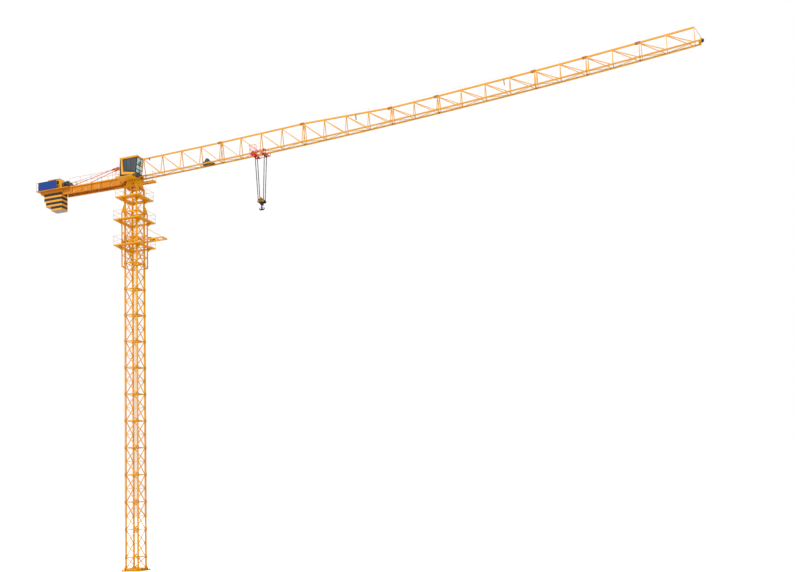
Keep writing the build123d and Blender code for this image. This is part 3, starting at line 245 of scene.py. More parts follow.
def painted_reflection_glass(name, tint, painted_inside_shade):
    """Glass with the sky's reflection painted on it in pale patches, over a darker inside that is painted
    shade.
    """
    n = Nodes(name)
    n.feed(n.shader, "IOR", 1.45)
    # The first colour is a painted reflection of the sky, and the second is the cab's dark inside as painted
    # shade.
    colour = n.mix(n.ramp(n.noise(13, 1), 0.45, 0.6), srgb(tint), srgb(painted_inside_shade))
    colour = n.mix(n.ramp(n.noise(38, 2), 0.55, 0.7, 0, 0.4), colour, srgb("8C8256"))
    n.bump(n.noise(18, 2), 0.03, 0.0006)
    return n.finish(colour, n.ramp(n.noise(110, 3), 0.3, 0.7, 0.06, 0.2), coat=0.4)


# Finishes

finishes = {
    "crane_paint": paint("crane_paint", "F2AB04", "EAA308", "B88408", "7A5A35", gloss=0.5, coat=0.04),
    "red_paint": paint("red_paint", "F2141C", "DE161E", "8C1A18", "5A4A45", gloss=0.5, coat=0.05),
    "cab_paint": paint("cab_paint", "0A1830", "122038", "2A2F38", "8A8F95", wear=0.3),
    "blue_paint": paint("blue_paint", "033688", "083E90", "1A3468", "8A8F95", coat=0.04, wear=0.3),
    "grey_paint": paint("grey_paint", "3C424A", "4A5058", "28262A", "3B3A38"),
    "dark_steel": steel("dark_steel", "2B2C2E", "4A4642", 0.35, 0.6),
    "wire_rope": steel("wire_rope", "26272A", "141414", 0.45, 0.65, metallic=0.4),
    "ballast_paint": striped_ballast("ballast_paint", "F5A512", "060E20"),
    "cab_glass": tinted_glass("cab_glass", "2F4248"),
}
# A darker copy of the crane paint for joint plates, sleeves, the root sheave, grating and other small parts:
# painted shade.
shaded_orange_paint = paint("shaded_orange_paint", "CC7E04", "BE7406", "8F5A12", "6A5038", gloss=0.5, coat=0.03)
band_paint = paint("band_paint", "FAA80A", "F2A00E", "C98A1E", "8A7A5A", gloss=0.4, coat=0.1)
buckle_paint = paint("buckle_paint", "D8000C", "C4060F", "6E1212", "4A3A38", coat=0.05)
block_paint = paint("block_paint", "CF8A1C", "B97A1C", "6A4A1E", "4A4038")
pale_paint = paint("pale_paint", "F1DFC0", "E6D2AE", "B9A57C", "8A8070")
# A darker copy of the crane paint for the counter-jib's girders, ballast frame and deck: painted shade.
shaded_girder_paint = paint("shaded_girder_paint", "E28E10", "D2820E", "9C6206", "7A5A35", gloss=0.5, coat=0.04)
rubber = steel("rubber", "17181A", "232425", 0.6, 0.85, metallic=0.0)
hook_steel = steel("hook_steel", "101113", "1C1B1A", 0.35, 0.55, metallic=0.6)
louvre_paint = steel("louvre_paint", "2A2620", "3A332A", 0.5, 0.75, metallic=0.2)
laid_rope = steel("laid_rope", "1A1B1D", "0C0C0D", 0.6, 0.8, metallic=0.0)
# The front and foot panes carry a painted sky reflection over a painted dark inside.
front_glass_painted_reflection = painted_reflection_glass("front_glass_painted_reflection", "BCDEDC", "465A5A")
foot_glass_painted_reflection = painted_reflection_glass("foot_glass_painted_reflection", "7C8480", "4A4E4C")
# The root sheave and the counter-jib's girders, ballast frame and deck take darker copies of the crane paint,
# which are painted shade.
bare_finishes = {"root_sheave": shaded_orange_paint, "counter_girder_near": shaded_girder_paint,
                 "counter_girder_far": shaded_girder_paint, "ballast_frame": shaded_girder_paint,
                 "counter_deck": shaded_girder_paint}
for name, thing in nodes.items():
    thing.data.materials.clear()
    thing.data.materials.append(bare_finishes.get(name, finishes[slot_of[name]]))

# Points and mesh forms


def circle(centre, first, second, radius, sides, turn=0.0):
    """Points round a centre in the plane of two directions."""
    angles = [2 * pi * (k + turn) / sides for k in range(sides)]
    return [centre + (first * cos(a) + second * sin(a)) * radius for a in angles]


def spoke(centre, radius, angle):
    """The point at an angle, in degrees, round a centre in the jib's plane."""
    return Vector(centre) + Vector((cos(radians(angle)), 0, sin(radians(angle)))) * radius


def arc(centre, radius, first, last, step):
    """Points round a centre in the jib's plane, from one angle up to another."""
    return [spoke(centre, radius, angle) for angle in range(first, last, step)]


def smooth_path(ends, steps):
    """Points on a smooth curve through a few chosen ones."""
    ends = [Vector(end) for end in ends]
    found = []
    for k in range(len(ends) - 1):
        before, start, end, after = ends[max(k - 1, 0)], ends[k], ends[k + 1], ends[min(k + 2, len(ends) - 1)]
        for step in range(steps):
            t = step / steps
            found.append(0.5 * (2 * start + (end - before) * t
                                + (2 * before - 5 * start + 4 * end - after) * t ** 2
                                + (3 * start - before - 3 * end + after) * t ** 3))
    return found + [ends[-1]]


class Piece:
    """Gathers the forms of one piece and makes them into one mesh that rides on a body."""

    def __init__(self, name, body, slot="crane_paint", finish=None, place=None):
        self.name, self.body, self.slot = name, body, slot
        self.finish = finish or finishes[slot]
        self.points, self.faces, self.round_faces = [], [], []
        self.place = place or Matrix()

    def add(self, points, faces, smooth=False):
        """Adds one form, moved by the piece's current place."""
        start = len(self.points)
        self.points += [self.place @ Vector(point) for point in points]
        self.faces += [[start + k for k in face] for face in faces]
        self.round_faces += [smooth] * len(faces)

    def prism(self, outline, push):
        """A flat outline pushed along one direction."""
        count = len(outline)
        points = [Vector(point) for point in outline]
        points += [point + Vector(push) for point in points]
        faces = [list(range(count)), list(range(count, 2 * count))]
        faces += [[k, (k + 1) % count, count + (k + 1) % count, count + k] for k in range(count)]
        self.add(points, faces)

    def plate(self, outline, y, thickness):
        """A flat outline of stations and heights, as thick as asked across the jib."""
        self.prism([(x, y, z) for x, z in outline], ACROSS * thickness)

    def box(self, low, high):
        """A block between two corners."""
        (x, y, z), (far_x, far_y, far_z) = low, high
        self.prism([(x, y, z), (far_x, y, z), (far_x, far_y, z), (x, far_y, z)], UP * (far_z - z))

    def block(self, centre, size):
        """A block about its centre."""
        centre, half = Vector(centre), Vector(size) / 2
        self.box(centre - half, centre + half)

    def bar(self, start, end, width, depth=None, side=UP):
        """A straight bar of rectangular section whose depth lies near side."""
        start, end = Vector(start), Vector(end)
        across = (end - start).cross(Vector(side))
        if across.length < 1e-6:
            across = (end - start).cross(ACROSS)
        across = across.normalized() * width / 2
        upward = across.cross(end - start).normalized() * (depth or width) / 2
        outline = [start - across - upward, start + across - upward,
                   start + across + upward, start - across + upward]
        self.prism(outline, end - start)

    def run(self, corners, width, depth=None, side=UP, closed=False):
        """Bars from corner to corner, and back to the first where the run closes."""
        for start, end in zip(corners, [*corners[1:], *(corners[:1] if closed else [])]):
            self.bar(start, end, width, depth, side)

    def skin(self, rings, smooth=True, closed=False):
        """A skin over rings of points, with flat ends unless it closes on itself."""
        count = len(rings[0])
        points = [point for ring in rings for point in ring]
        sides = []
        for r in range(len(rings) if closed else len(rings) - 1):
            low, high = r * count, (r + 1) % len(rings) * count
            sides += [[low + k, low + (k + 1) % count, high + (k + 1) % count, high + k]
                      for k in range(count)]
        self.add(points, sides, smooth)
        if not closed:
            for start in (len(self.points) - len(points), len(self.points) - count):
                self.faces.append([start + k for k in range(count)])
                self.round_faces.append(False)

    def turned(self, centre, axis, profile, sides=16):
        """A turned form: pairs of radius and station along an axis."""
        turn = Vector(axis).to_track_quat("Z", "Y").to_matrix()
        first, second, along = turn @ ALONG, turn @ ACROSS, turn @ UP
        self.skin([circle(Vector(centre) + along * station, first, second, radius, sides, 0.5)
                   for radius, station in profile])

    def rod(self, centre, axis, radius, length, sides):
        """A plain round rod along an axis."""
        self.turned(centre, axis, [(radius, 0), (radius, length)], sides)

    def disc(self, centre, axis, radius, thickness, sides, rim=0.0006, edge=0.0008):
        """A round disc whose two rims are turned off."""
        self.turned(centre, axis, [(radius - rim, 0), (radius, edge), (radius, thickness - edge),
                                   (radius - rim, thickness)], sides)

    def nut(self, centre, axis, width, height):
        """A hexagon nut that stands along an axis, with its corners turned off."""
        corner = width / sqrt(3)
        self.turned(centre, axis, [(corner * 0.88, 0), (corner, height * 0.12), (corner, height * 0.85),
                                   (corner * 0.86, height)], 6)

    def tube(self, path, radius, sides=8, closed=False):
        """A round tube along a path of points."""
        path = [Vector(point) for point in path]
        rings, normal = [], None
        for k, point in enumerate(path):
            before = path[k - 1] if k or closed else point
            after = path[(k + 1) % len(path)] if k + 1 < len(path) or closed else point
            along = (after - before).normalized()
            if normal is None:
                normal = along.orthogonal().normalized()
            normal = (normal - along * normal.dot(along)).normalized()
            rings.append(circle(point, normal, along.cross(normal), radius, sides))
        self.skin(rings, closed=closed)

    def taper(self, path, radii, sides=12):
        """A round horn along a level path, with its own radius at each point."""
        rings = []
        for k, (point, radius) in enumerate(zip(path, radii)):
            along = (path[min(k + 1, len(path) - 1)] - path[max(k - 1, 0)]).normalized()
            rings.append(circle(point, along.cross(ACROSS), ACROSS, radius, sides))
        self.skin(rings)

    def make(self):
        """Makes the mesh and gives it its finish."""
        mesh = bpy.data.meshes.new(self.name)
        mesh.from_pydata([tuple(point) for point in self.points], [], self.faces)
        for face, smooth in zip(mesh.polygons, self.round_faces):
            face.use_smooth = smooth
        outward = bmesh.new()
        outward.from_mesh(mesh)
        bmesh.ops.recalc_face_normals(outward, faces=outward.faces)
        outward.to_mesh(mesh)
        outward.free()
        mesh.set_sharp_from_angle(angle=radians(40))
        mesh.materials.append(self.finish)
        return add_object(self.name, mesh)

    def done(self, bevel=0.0):
        """Makes the piece and hangs it on its body."""
        piece = self.make()
        if bevel:
            rounding = piece.modifiers.new("rounding", "BEVEL")
            rounding.width = bevel
            rounding.segments = 2
            rounding.limit_method = "ANGLE"
        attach(piece, self.body)
        return piece


def quarter(k):
    """A turn about the mast by so many quarters."""
    return Matrix.Rotation(k * pi / 2, 4, "Z")


def quarters(*pieces):
    """Turns the pieces to each side of the mast in turn."""
    for turn in range(4):
        for piece in pieces:
            piece.place = quarter(turn)
        yield turn


# Sizes that the pieces share, in metres

LEG, MAST_HALF = 0.016, 0.0765
MAST_INNER, MAST_OUTER = MAST_HALF - LEG / 2, MAST_HALF + LEG / 2
SECTION, FIRST_RING, RING_COUNT = 0.3, 0.15, 13
MAST_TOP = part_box("mast_legs")[1].z
COLLAR_REACH = 0.003
RAIL, RAIL_HEIGHT, TOE_BOARD, TOE_BOARD_THICK = 0.0024, 0.11, 0.010, 0.001


def ring_level(k):
    """Height of one ring of the mast."""
    return FIRST_RING + SECTION * k


# Mast: rungs, gussets, thin struts, joint bolts and the bolts of the foot

def ladder_rungs():
    """Round rungs between the stiles of the ladder."""
    rung_pitch, rung_radius, stile = 0.028, 0.0011, 0.003
    low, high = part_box("mast_ladder")
    piece = Piece("ladder_rungs", "tower")
    x = (low.x + high.x) / 2
    for k in range(1, int((high.z - low.z) / rung_pitch)):
        z = low.z + rung_pitch * k
        piece.tube([(x, low.y + stile / 2, z), (x, high.y - stile / 2, z)], rung_radius, 6)
    piece.done()


def mast_gussets():
    """Corner plates where the diagonals meet the legs, and a thin strut halfway up each section."""
    plate, reach, height, strut = 0.0016, 0.017, 0.021, 0.003
    piece = Piece("mast_gussets", "tower")
    for _ in quarters(piece):
        for k in range(RING_COUNT):
            middle = ring_level(k) + SECTION / 2
            for side, z in ((1, ring_level(k)), (-1, middle)):
                edge = side * MAST_INNER
                piece.plate([(edge, z - height), (edge - side * reach, z), (edge, z + height)],
                            -MAST_HALF - plate / 2, plate)
            piece.bar((-MAST_INNER, -MAST_HALF, middle), (MAST_INNER, -MAST_HALF, middle), strut)
    piece.done()


def joint_bolts():
    """A long bolt in a sleeve on both outer faces of each leg, at every joint of the mast."""
    sleeve, sleeve_half, bolt, width, head = 0.0032, 0.0125, 0.0016, 0.0048, 0.0028
    sleeves = Piece("joint_sleeves", "tower", finish=shaded_orange_paint)
    bolts = Piece("joint_bolts", "tower", "dark_steel")
    for _ in quarters(sleeves, bolts):
        for k in range(RING_COUNT):
            for y in (MAST_HALF, -MAST_HALF):
                spot = Vector((MAST_OUTER + COLLAR_REACH, y, ring_level(k)))
                low, high = spot - UP * sleeve_half, spot + UP * sleeve_half
                sleeves.rod(low, UP, sleeve, 2 * sleeve_half, 10)
                bolts.nut(high, UP, width, head)
                bolts.rod(high + UP * head, UP, bolt, head, 8)
                bolts.nut(low, -UP, width, head)
    sleeves.done()
    bolts.done()


def foot_bolts():
    """Anchor bolts with washers and nuts round the flange of the base."""
    plate_top, inset, per_side, washer, washer_height = 0.010, 0.011, 6, 0.0062, 0.0012
    width, height, stud, stud_height = 0.0085, 0.006, 0.0026, 0.013
    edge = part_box("base_frame")[1].x - inset
    piece = Piece("foot_bolts", "tower", "dark_steel")
    for _ in quarters(piece):
        for k in range(per_side):
            spot = Vector((edge, edge * (2 * k / per_side - 1), plate_top))
            piece.rod(spot, UP, washer, washer_height, 14)
            piece.nut(spot + UP * washer_height, UP, width, height)
            piece.rod(spot + UP * height, UP, stud, stud_height - height, 10)
    piece.done()


# Rails round every platform

def rail_run(rails, boards, corners, level):
    """A middle rail and a toe board along a run of corners over a floor."""
    rails.run([(*corner, level + RAIL_HEIGHT / 2) for corner in corners], RAIL * 0.8)
    boards.run([(*corner, level + TOE_BOARD / 2) for corner in corners], TOE_BOARD_THICK, TOE_BOARD)


def tower_rails():
    """Middle rails and toe boards of the square floors, open where the feed platform joins."""
    gate = 0.065
    rails, boards = Piece("tower_mid_rails", "tower"), Piece("tower_toe_boards", "tower")
    for name, gap in (("cage_floor_1", gate), ("cage_floor_2", 0.0), ("head_floor", 0.0)):
        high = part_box(name)[1]
        edge = high.x - RAIL / 2
        corners = [(edge, gap), (edge, edge), (-edge, edge), (-edge, -edge), (edge, -edge), (edge, -gap)]
        rail_run(rails, boards, corners, high.z - RAIL_HEIGHT)
    rails.done()
    boards.done()


def upper_rails():
    """Middle rails and toe boards of the counter-jib, its deck, the cab's platform and the far platform."""
    walk_start, walk_edge, cab_side = -0.1043, 0.0618, -0.0424
    rails, boards = Piece("upper_mid_rails", "upperworks"), Piece("upper_toe_boards", "upperworks")
    low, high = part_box("counter_deck")
    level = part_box("counter_girder_far")[1].z - RAIL_HEIGHT
    for side in (-1, 1):
        rail_run(rails, boards, [(walk_start, side * walk_edge), (high.x, side * walk_edge)], level)
    rear, front, edge = low.x + RAIL, high.x - RAIL, high.y - RAIL / 2
    corners = [(rear, -edge), (rear, edge), (front, edge), (front, walk_edge)]
    rail_run(rails, boards, corners, high.z - RAIL_HEIGHT)
    low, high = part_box("cab_platform")
    rear, near, far = low.x + RAIL, low.y + RAIL / 2, high.y - RAIL / 2
    corners = [(cab_side, near), (rear, near), (rear, far), (cab_side, far)]
    rail_run(rails, boards, corners, high.z - RAIL_HEIGHT)
    low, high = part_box("side_platform")
    rear, front, near, far = low.x + RAIL, high.x - RAIL, low.y + RAIL, high.y - RAIL / 2
    corners = [(rear, near), (rear, far), (front, far), (front, near)]
    rail_run(rails, boards, corners, high.z - RAIL_HEIGHT)
    rails.done()
    boards.done()


# Climbing cage: guide rollers, power pack, hoses and the carriage of the feed platform

def cage_rollers():
    """Rollers that guide the cage along the mast's legs, with their fork plates."""
    roller, width, axle, running_gap = 0.0045, 0.007, 0.0012, 0.0005
    fork, fork_gap, fork_end, nose, nose_half, root_half = 0.0015, 0.0045, 0.100, 0.002, 0.003, 0.0075
    foot, bay, top_gap = 3.4025, 0.13, 0.0025
    rollers = Piece("cage_rollers", "tower", "dark_steel")
    forks = Piece("cage_roller_forks", "tower")
    x = MAST_OUTER + running_gap + roller
    outline = [(x - nose, -nose_half), (fork_end, -root_half), (fork_end, root_half), (x - nose, nose_half)]
    for _ in quarters(rollers, forks):
        for z in (foot, foot + 2 * bay, MAST_TOP - top_gap):
            for y in (-MAST_HALF, MAST_HALF):
                rollers.disc((x, y - width / 2, z), ACROSS, roller, width, 16, rim=roller * 0.2)
                rollers.rod((x, y - fork_gap - fork, z), ACROSS, axle, 2 * (fork_gap + fork), 8)
                for side in (-1, 1):
                    forks.plate([(along, z + up) for along, up in outline], y + side * fork_gap, side * fork)
    rollers.done()
    forks.done()


def power_pack():
    """Hydraulic pump on the cage's lower floor: tank, motor, valves and two hoses to the cylinder."""
    floor_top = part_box("cage_floor_1")[1].z - RAIL_HEIGHT
    low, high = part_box("climbing_gear")
    spot = Vector((-0.055, -0.138, floor_top))
    tank = Piece("pump_tank", "tower", "grey_paint", shaded_orange_paint, Matrix.Translation(spot))
    tank.block((0, 0, 0.017), (0.046, 0.03, 0.028))
    tank.block((0, 0, 0.0015), (0.052, 0.036, 0.003))
    tank.turned((0.012, 0, 0.031), UP, [(0.008, 0), (0.0088, 0.002), (0.0088, 0.016), (0.006, 0.019)], 18)
    tank.turned((-0.014, 0.006, 0.031), UP,
                [(0.004, 0), (0.004, 0.005), (0.0052, 0.005), (0.0052, 0.009)], 14)
    tank.block((-0.012, -0.006, 0.035), (0.014, 0.008, 0.008))
    tank.done(bevel=0.0008)
    hoses = Piece("pump_hoses", "tower", "dark_steel", rubber)
    hose, beam_y, port_z = 0.0013, -0.0935, high.z - 0.15
    for shift in (-0.004, 0.004):
        start = spot + Vector((shift - 0.012, -0.006, 0.039))
        ends = (start, start + Vector((0, 0.004, 0.03)), (shift - 0.03, -0.104, floor_top + 0.055),
                (shift - 0.012, beam_y, floor_top + 0.02), (shift - 0.006, beam_y, port_z))
        hoses.tube(smooth_path(ends, 8), hose, 8)
    hoses.done()
    rings = Piece("cylinder_rings", "tower", "dark_steel")
    for z in (low.z + 0.062, low.z + 0.075, high.z - 0.034):
        rings.disc((0, (low.y + high.y) / 2, z), UP, 0.0078, 0.005, 20, edge=0.001)
    rings.done()


def feed_carriage():
    """The small carriage that a new mast section hangs from, on the feed platform's beams."""
    station, beam_y, beam_top, wheel_x = 0.225, 0.045, 3.708, 0.014
    place = Matrix.Translation((station, 0, beam_top))
    piece = Piece("feed_carriage", "tower", finish=shaded_orange_paint, place=place)
    wheels = Piece("feed_wheels", "tower", "dark_steel", place=place)
    for side in (-1, 1):
        piece.block((0, side * beam_y, 0.009), (0.044, 0.006, 0.008))
        for x in (-wheel_x, wheel_x):
            wheels.turned((x, side * beam_y - 0.004, 0.0052), ACROSS,
                          [(0.0052, 0), (0.0052, 0.006), (0.0062, 0.006), (0.0062, 0.008)], 18)
    piece.block((0, 0, 0.012), (0.012, 2 * beam_y, 0.008))
    piece.block((0, 0, 0.004), (0.018, 0.016, 0.02))
    piece.done(bevel=0.0006)
    wheels.done()


def port_covers():
    """Rims and dark covers of the motor ports in the slewing support, and two slewing motors below them."""
    port_z, motor_z, motor_y, shelf_z = 4.3628, 4.317, 0.028, 4.342
    inner, outer, low, high = 0.0096, 0.0122, -0.004, 0.0018
    housing, reach, face, bracket = 0.0138, 0.022, MAST_OUTER - 0.004, 0.012
    rims = Piece("port_rims", "tower")
    covers = Piece("port_covers", "tower", "dark_steel", rubber)
    for turn, side, motor in ((0, -1, True), (3, 1, True), (2, -1, False), (1, 1, False)):
        rims.place = covers.place = quarter(turn)
        port = (MAST_OUTER - 0.0012, side * MAST_HALF / 2, port_z)
        rims.turned(port, ALONG, [(inner, low), (outer, low), (outer, high), (inner, high), (inner, low)], 24)
        covers.turned(port, ALONG,
                      [(0.0094, -0.0085), (0.0094, -0.007), (0.004, -0.0055), (0.004, -0.002)], 20)
        if motor:
            y, x = side * motor_y, face - reach / 2
            rims.turned((face, y, motor_z), ALONG,
                        [(0.006, -reach), (housing, 0.002 - reach), (housing, 0.0), (0.0108, 0.0008)], 24)
            covers.turned((face, y, motor_z), ALONG,
                          [(0.0102, 0.0006), (0.0102, 0.0022), (0.0085, 0.0030)], 22)
            rims.bar((x, y, motor_z + housing - 0.001), (x, y, shelf_z), bracket)
    rims.done()
    covers.done()


def support_bolts():
    """Bolt heads along the foot flange of the slewing support."""
    foot, half, flange_height, bolt_pitch, bolts_a_side = 4.340, 0.061, 0.004, 0.018, 7
    bolts = Piece("support_bolts", "tower", "dark_steel")
    flange = Piece("support_flange", "tower")
    for _ in quarters(bolts, flange):
        flange.box((MAST_OUTER - 0.002, -half, foot), (MAST_OUTER + 0.0035, half, foot + flange_height))
        for k in range(bolts_a_side):
            y = bolt_pitch * (k - (bolts_a_side - 1) / 2)
            bolts.nut((MAST_OUTER + 0.0012, y, foot + flange_height), UP, 0.0035, 0.003)
    bolts.done()
    flange.done()


# Jib: the line of its chords, and what is fixed to them

CAMBER_RADIUS, CAMBER_LOW_X, JIB_RISE = 79.0, -1.670, 0.0194
TABLE_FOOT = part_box("turntable")[0].z
FIRST_NODE, NODE_PITCH, NODE_COUNT = 0.126, 0.25, 25
ROOT_HEIGHT, TIP_HEIGHT, TAPER_START, TAPER_END = 0.219, 0.161, 8, 12
JOINT_NODES = (4, 8, 12, 14, 18, 20, 22)
JIB_HALF, LOW_CHORD, TOP_CHORD = 0.045, 0.012, 0.014
JIB_END = FIRST_NODE + NODE_PITCH * (NODE_COUNT - 1) + 0.055
APEX_Z = 4.6607


def arc_z(x):
    """Height of the lower chords' centre line at one station."""
    level = TABLE_FOOT + JIB_RISE + sqrt(CAMBER_RADIUS ** 2 - CAMBER_LOW_X ** 2)
    return level - sqrt(CAMBER_RADIUS ** 2 - (x - CAMBER_LOW_X) ** 2)


def node_x(node):
    """Station of one node."""
    return FIRST_NODE + NODE_PITCH * node


def top_z(node):
    """Height of the top chord's centre line at one node."""
    share = min(max((node - TAPER_START) / (TAPER_END - TAPER_START), 0), 1)
    return arc_z(node_x(node)) + ROOT_HEIGHT + (TIP_HEIGHT - ROOT_HEIGHT) * share


def on_jib(x, z):
    """A place on the jib that leans with its chords."""
    lean = asin((x - CAMBER_LOW_X) / CAMBER_RADIUS)
    return Matrix.Translation((x, 0, z)) @ Matrix.Rotation(-lean, 4, "Y")


def jib_joints():
    """Fork plates and pins where the jib's sections meet."""
    half, plate, pin, pin_head, head_top, shift = 0.0105, 0.0011, 0.0021, 0.0034, 0.0026, 0.0052
    cover, cover_half, cover_shift = 0.028, 0.0115, -0.012
    corners = ((-1, -0.5), (-0.75, -1), (0.75, -1), (1, -0.5), (1, 0.5), (0.75, 1), (-0.75, 1), (-1, 0.5))
    outline = [(cover_shift + cover * along, cover_half * up) for along, up in corners]
    reach = TOP_CHORD / 2
    plates = Piece("jib_joint_plates", "upperworks", finish=shaded_orange_paint)
    pins = Piece("jib_pins", "upperworks", "dark_steel")
    for node in JOINT_NODES:
        x = node_x(node)
        plates.place = pins.place = on_jib(x, top_z(node))
        for side in (-1, 1):
            plates.plate(outline, side * reach, side * plate)
            pins.turned((cover_shift + 2 * side * shift, 0, 0), ACROSS,
                        [(pin_head, -reach - head_top), (pin_head, -reach - plate), (pin, -reach - plate),
                         (pin, reach + 0.0034)], 12)
        plates.place = pins.place = on_jib(x, arc_z(x))
        for side in (-1, 1):
            inner, outer = side * (JIB_HALF - LOW_CHORD / 2), side * (JIB_HALF + LOW_CHORD / 2)
            plates.box((-half, inner, -0.0075), (half, inner - side * plate, 0.0075))
            plates.box((-half, outer, -0.003), (half, outer + side * 0.0008, 0.0075))
            for pin_x in (-shift, shift):
                pins.turned((pin_x, inner, 0.001), ACROSS * -side,
                            [(pin_head, plate), (pin_head, head_top), (pin, head_top), (pin, 0.0045)], 12)
    plates.done()
    pins.done()


def jib_hangers():
    """Small rope guides that hang from the top chord."""
    strip, strip_half, strip_y, roller, neck = 0.0045, 0.004, 0.006, 0.0045, 0.00315
    brackets = Piece("rope_guides", "upperworks", finish=shaded_orange_paint)
    rollers = Piece("guide_rollers", "upperworks", "dark_steel")
    for node, drop in ((0.30, 0.018), (10.42, 0.052), (16.76, 0.052)):
        brackets.place = rollers.place = on_jib(node_x(node), top_z(node) - TOP_CHORD / 2)
        for y in (-strip_y, strip_y):
            brackets.box((-strip_half, y - strip / 2, -drop), (strip_half, y + strip / 2, 0.003))
        brackets.box((-0.006, -0.008, -0.0015), (0.006, 0.008, 0.0005))
        rollers.turned((0, -0.005, 0.006 - drop), ACROSS,
                       [(roller, 0), (roller, 0.0015), (neck, 0.004), (neck, 0.006), (roller, 0.0085),
                        (roller, 0.010)], 16)
    brackets.done()
    rollers.done()


def jib_lifeline():
    """A thin safety line on short posts over the top chord, and the fine rope halfway up the jib."""
    height, post, line, hang = 0.030, 0.0018, 0.0005, 0.0012
    posts = Piece("lifeline_posts", "upperworks")
    rope = Piece("lifeline", "upperworks", finish=pale_paint)
    tops = [Vector((node_x(node), 0, top_z(node) + TOP_CHORD / 2 + height)) for node in range(9, 20)]
    for top in tops:
        posts.bar(top - UP * height, top, post)
        posts.turned(top, UP, [(0.0014, -0.001), (0.0018, 0.0005), (0.0012, 0.0016)], 10)
    rope.tube([top - UP * hang for top in tops], line, 5)
    rope.tube([(node_x(node), 0, (top_z(node) + arc_z(node_x(node))) / 2) for node in range(NODE_COUNT)],
              line, 5)
    posts.done()
    rope.done()


def tip_fittings():
    """The dark sheave at the tip, and the taut chain from the top chord's end to it."""
    rim, groove, half, bottom = 0.0193, 0.0184, 0.0067, 0.002
    tip = Vector((JIB_END, 0, arc_z(JIB_END)))
    hub = tip + Vector((LOW_CHORD / 2, 0, LOW_CHORD))
    sheave = Piece("tip_sheave", "upperworks", "dark_steel")
    flank = [(rim - 0.003, half), (rim, half - 0.001), (rim, half - 0.0025), (groove, bottom)]
    sheave.turned(hub, ACROSS, [(radius, -y) for radius, y in flank] + flank[::-1], 28)
    for side in (1, -1):
        sheave.nut(hub + ACROSS * side * half, ACROSS * side, 0.010, 0.004)
    sheave.done()
    last = NODE_COUNT - 1
    high = Vector((node_x(last) + 0.005, 0, top_z(last) + 0.002))
    links, wire, half_width, half_length, corners = 13, 0.0008, 0.0019, 0.62, 10
    along = (tip + Vector((0.004, 0, 0.034)) - high) / links
    chain = Piece("tip_chain", "upperworks", "dark_steel")
    for k in range(links):
        across = ACROSS if k % 2 else along.normalized().cross(ACROSS)
        link = circle(high + along * (k + 0.5), along * half_length, across * half_width, 1, corners)
        chain.tube(link, wire, 5, closed=True)
    chain.done()


# Ropes and winches

DRUM_X, DRUM_Z = -0.905, 4.505


def rope_lead():
    """The hoist rope from the drum over the sheave beside the apex to the jib's root."""
    drum_radius, apex_radius, root_radius, rope = 0.0262, 0.015, 0.0182, 0.0011
    root = (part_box("root_sheave")[0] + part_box("root_sheave")[1]) / 2
    root.y = 0
    apex = Vector((0.004, 0.0195, APEX_Z - 0.004))
    lead = Piece("rope_lead", "upperworks", "wire_rope")
    lead.tube([(DRUM_X, 0, DRUM_Z + drum_radius), *arc(apex, apex_radius, 110, -5, -15),
               root + Vector((-root_radius * 0.98, 0, 0.004)), *arc(root, root_radius, 190, 276, 17)],
              rope, 7)
    lead.done()
    groove, rim, half, edge = 0.0138, 0.0165, 0.003, 0.0024
    sheaves = Piece("apex_sheave", "upperworks", "dark_steel")
    sheaves.turned(apex, ACROSS, [(rim - 0.002, -half), (rim, -edge), (groove, 0), (rim, edge),
                                  (rim - 0.002, half)], 26)
    sheaves.rod(apex - ACROSS * 0.009, ACROSS, 0.003, 0.0145, 12)
    rims = Piece("root_sheave_rim", "upperworks", "dark_steel", shaded_orange_paint)
    groove, rim = 0.0172, 0.0205
    rims.turned(root, ACROSS, [(groove, -0.0032), (rim, -0.0026), (groove, 0), (rim, 0.0026),
                               (groove, 0.0032)], 28)
    for side in (-1, 1):
        rims.nut(root + ACROSS * side * 0.0035, ACROSS * side, 0.009, 0.003)
    rims.done()
    sheaves.done()


def winding(name, place, start, length, radius, rope, steps):
    """Rope wound on a drum that lies across the jib, from one side on."""
    count = int(length / (2.05 * rope)) * steps
    piece = Piece(name, "upperworks", "wire_rope", place=place)
    angles = [2 * pi * k / steps for k in range(count + 1)]
    piece.tube([Vector(start) + Vector((radius * sin(a), length * k / count, radius * cos(a)))
                for k, a in enumerate(angles)], rope, 5)
    piece.done()


def fins(start, pitch, count, low, high, thickness):
    """The profile of a motor's cooling fins."""
    profile = []
    for y in [start + pitch * k for k in range(count)]:
        profile += [(low, y), (high, y), (high, y + thickness), (low, y + thickness)]
    return profile


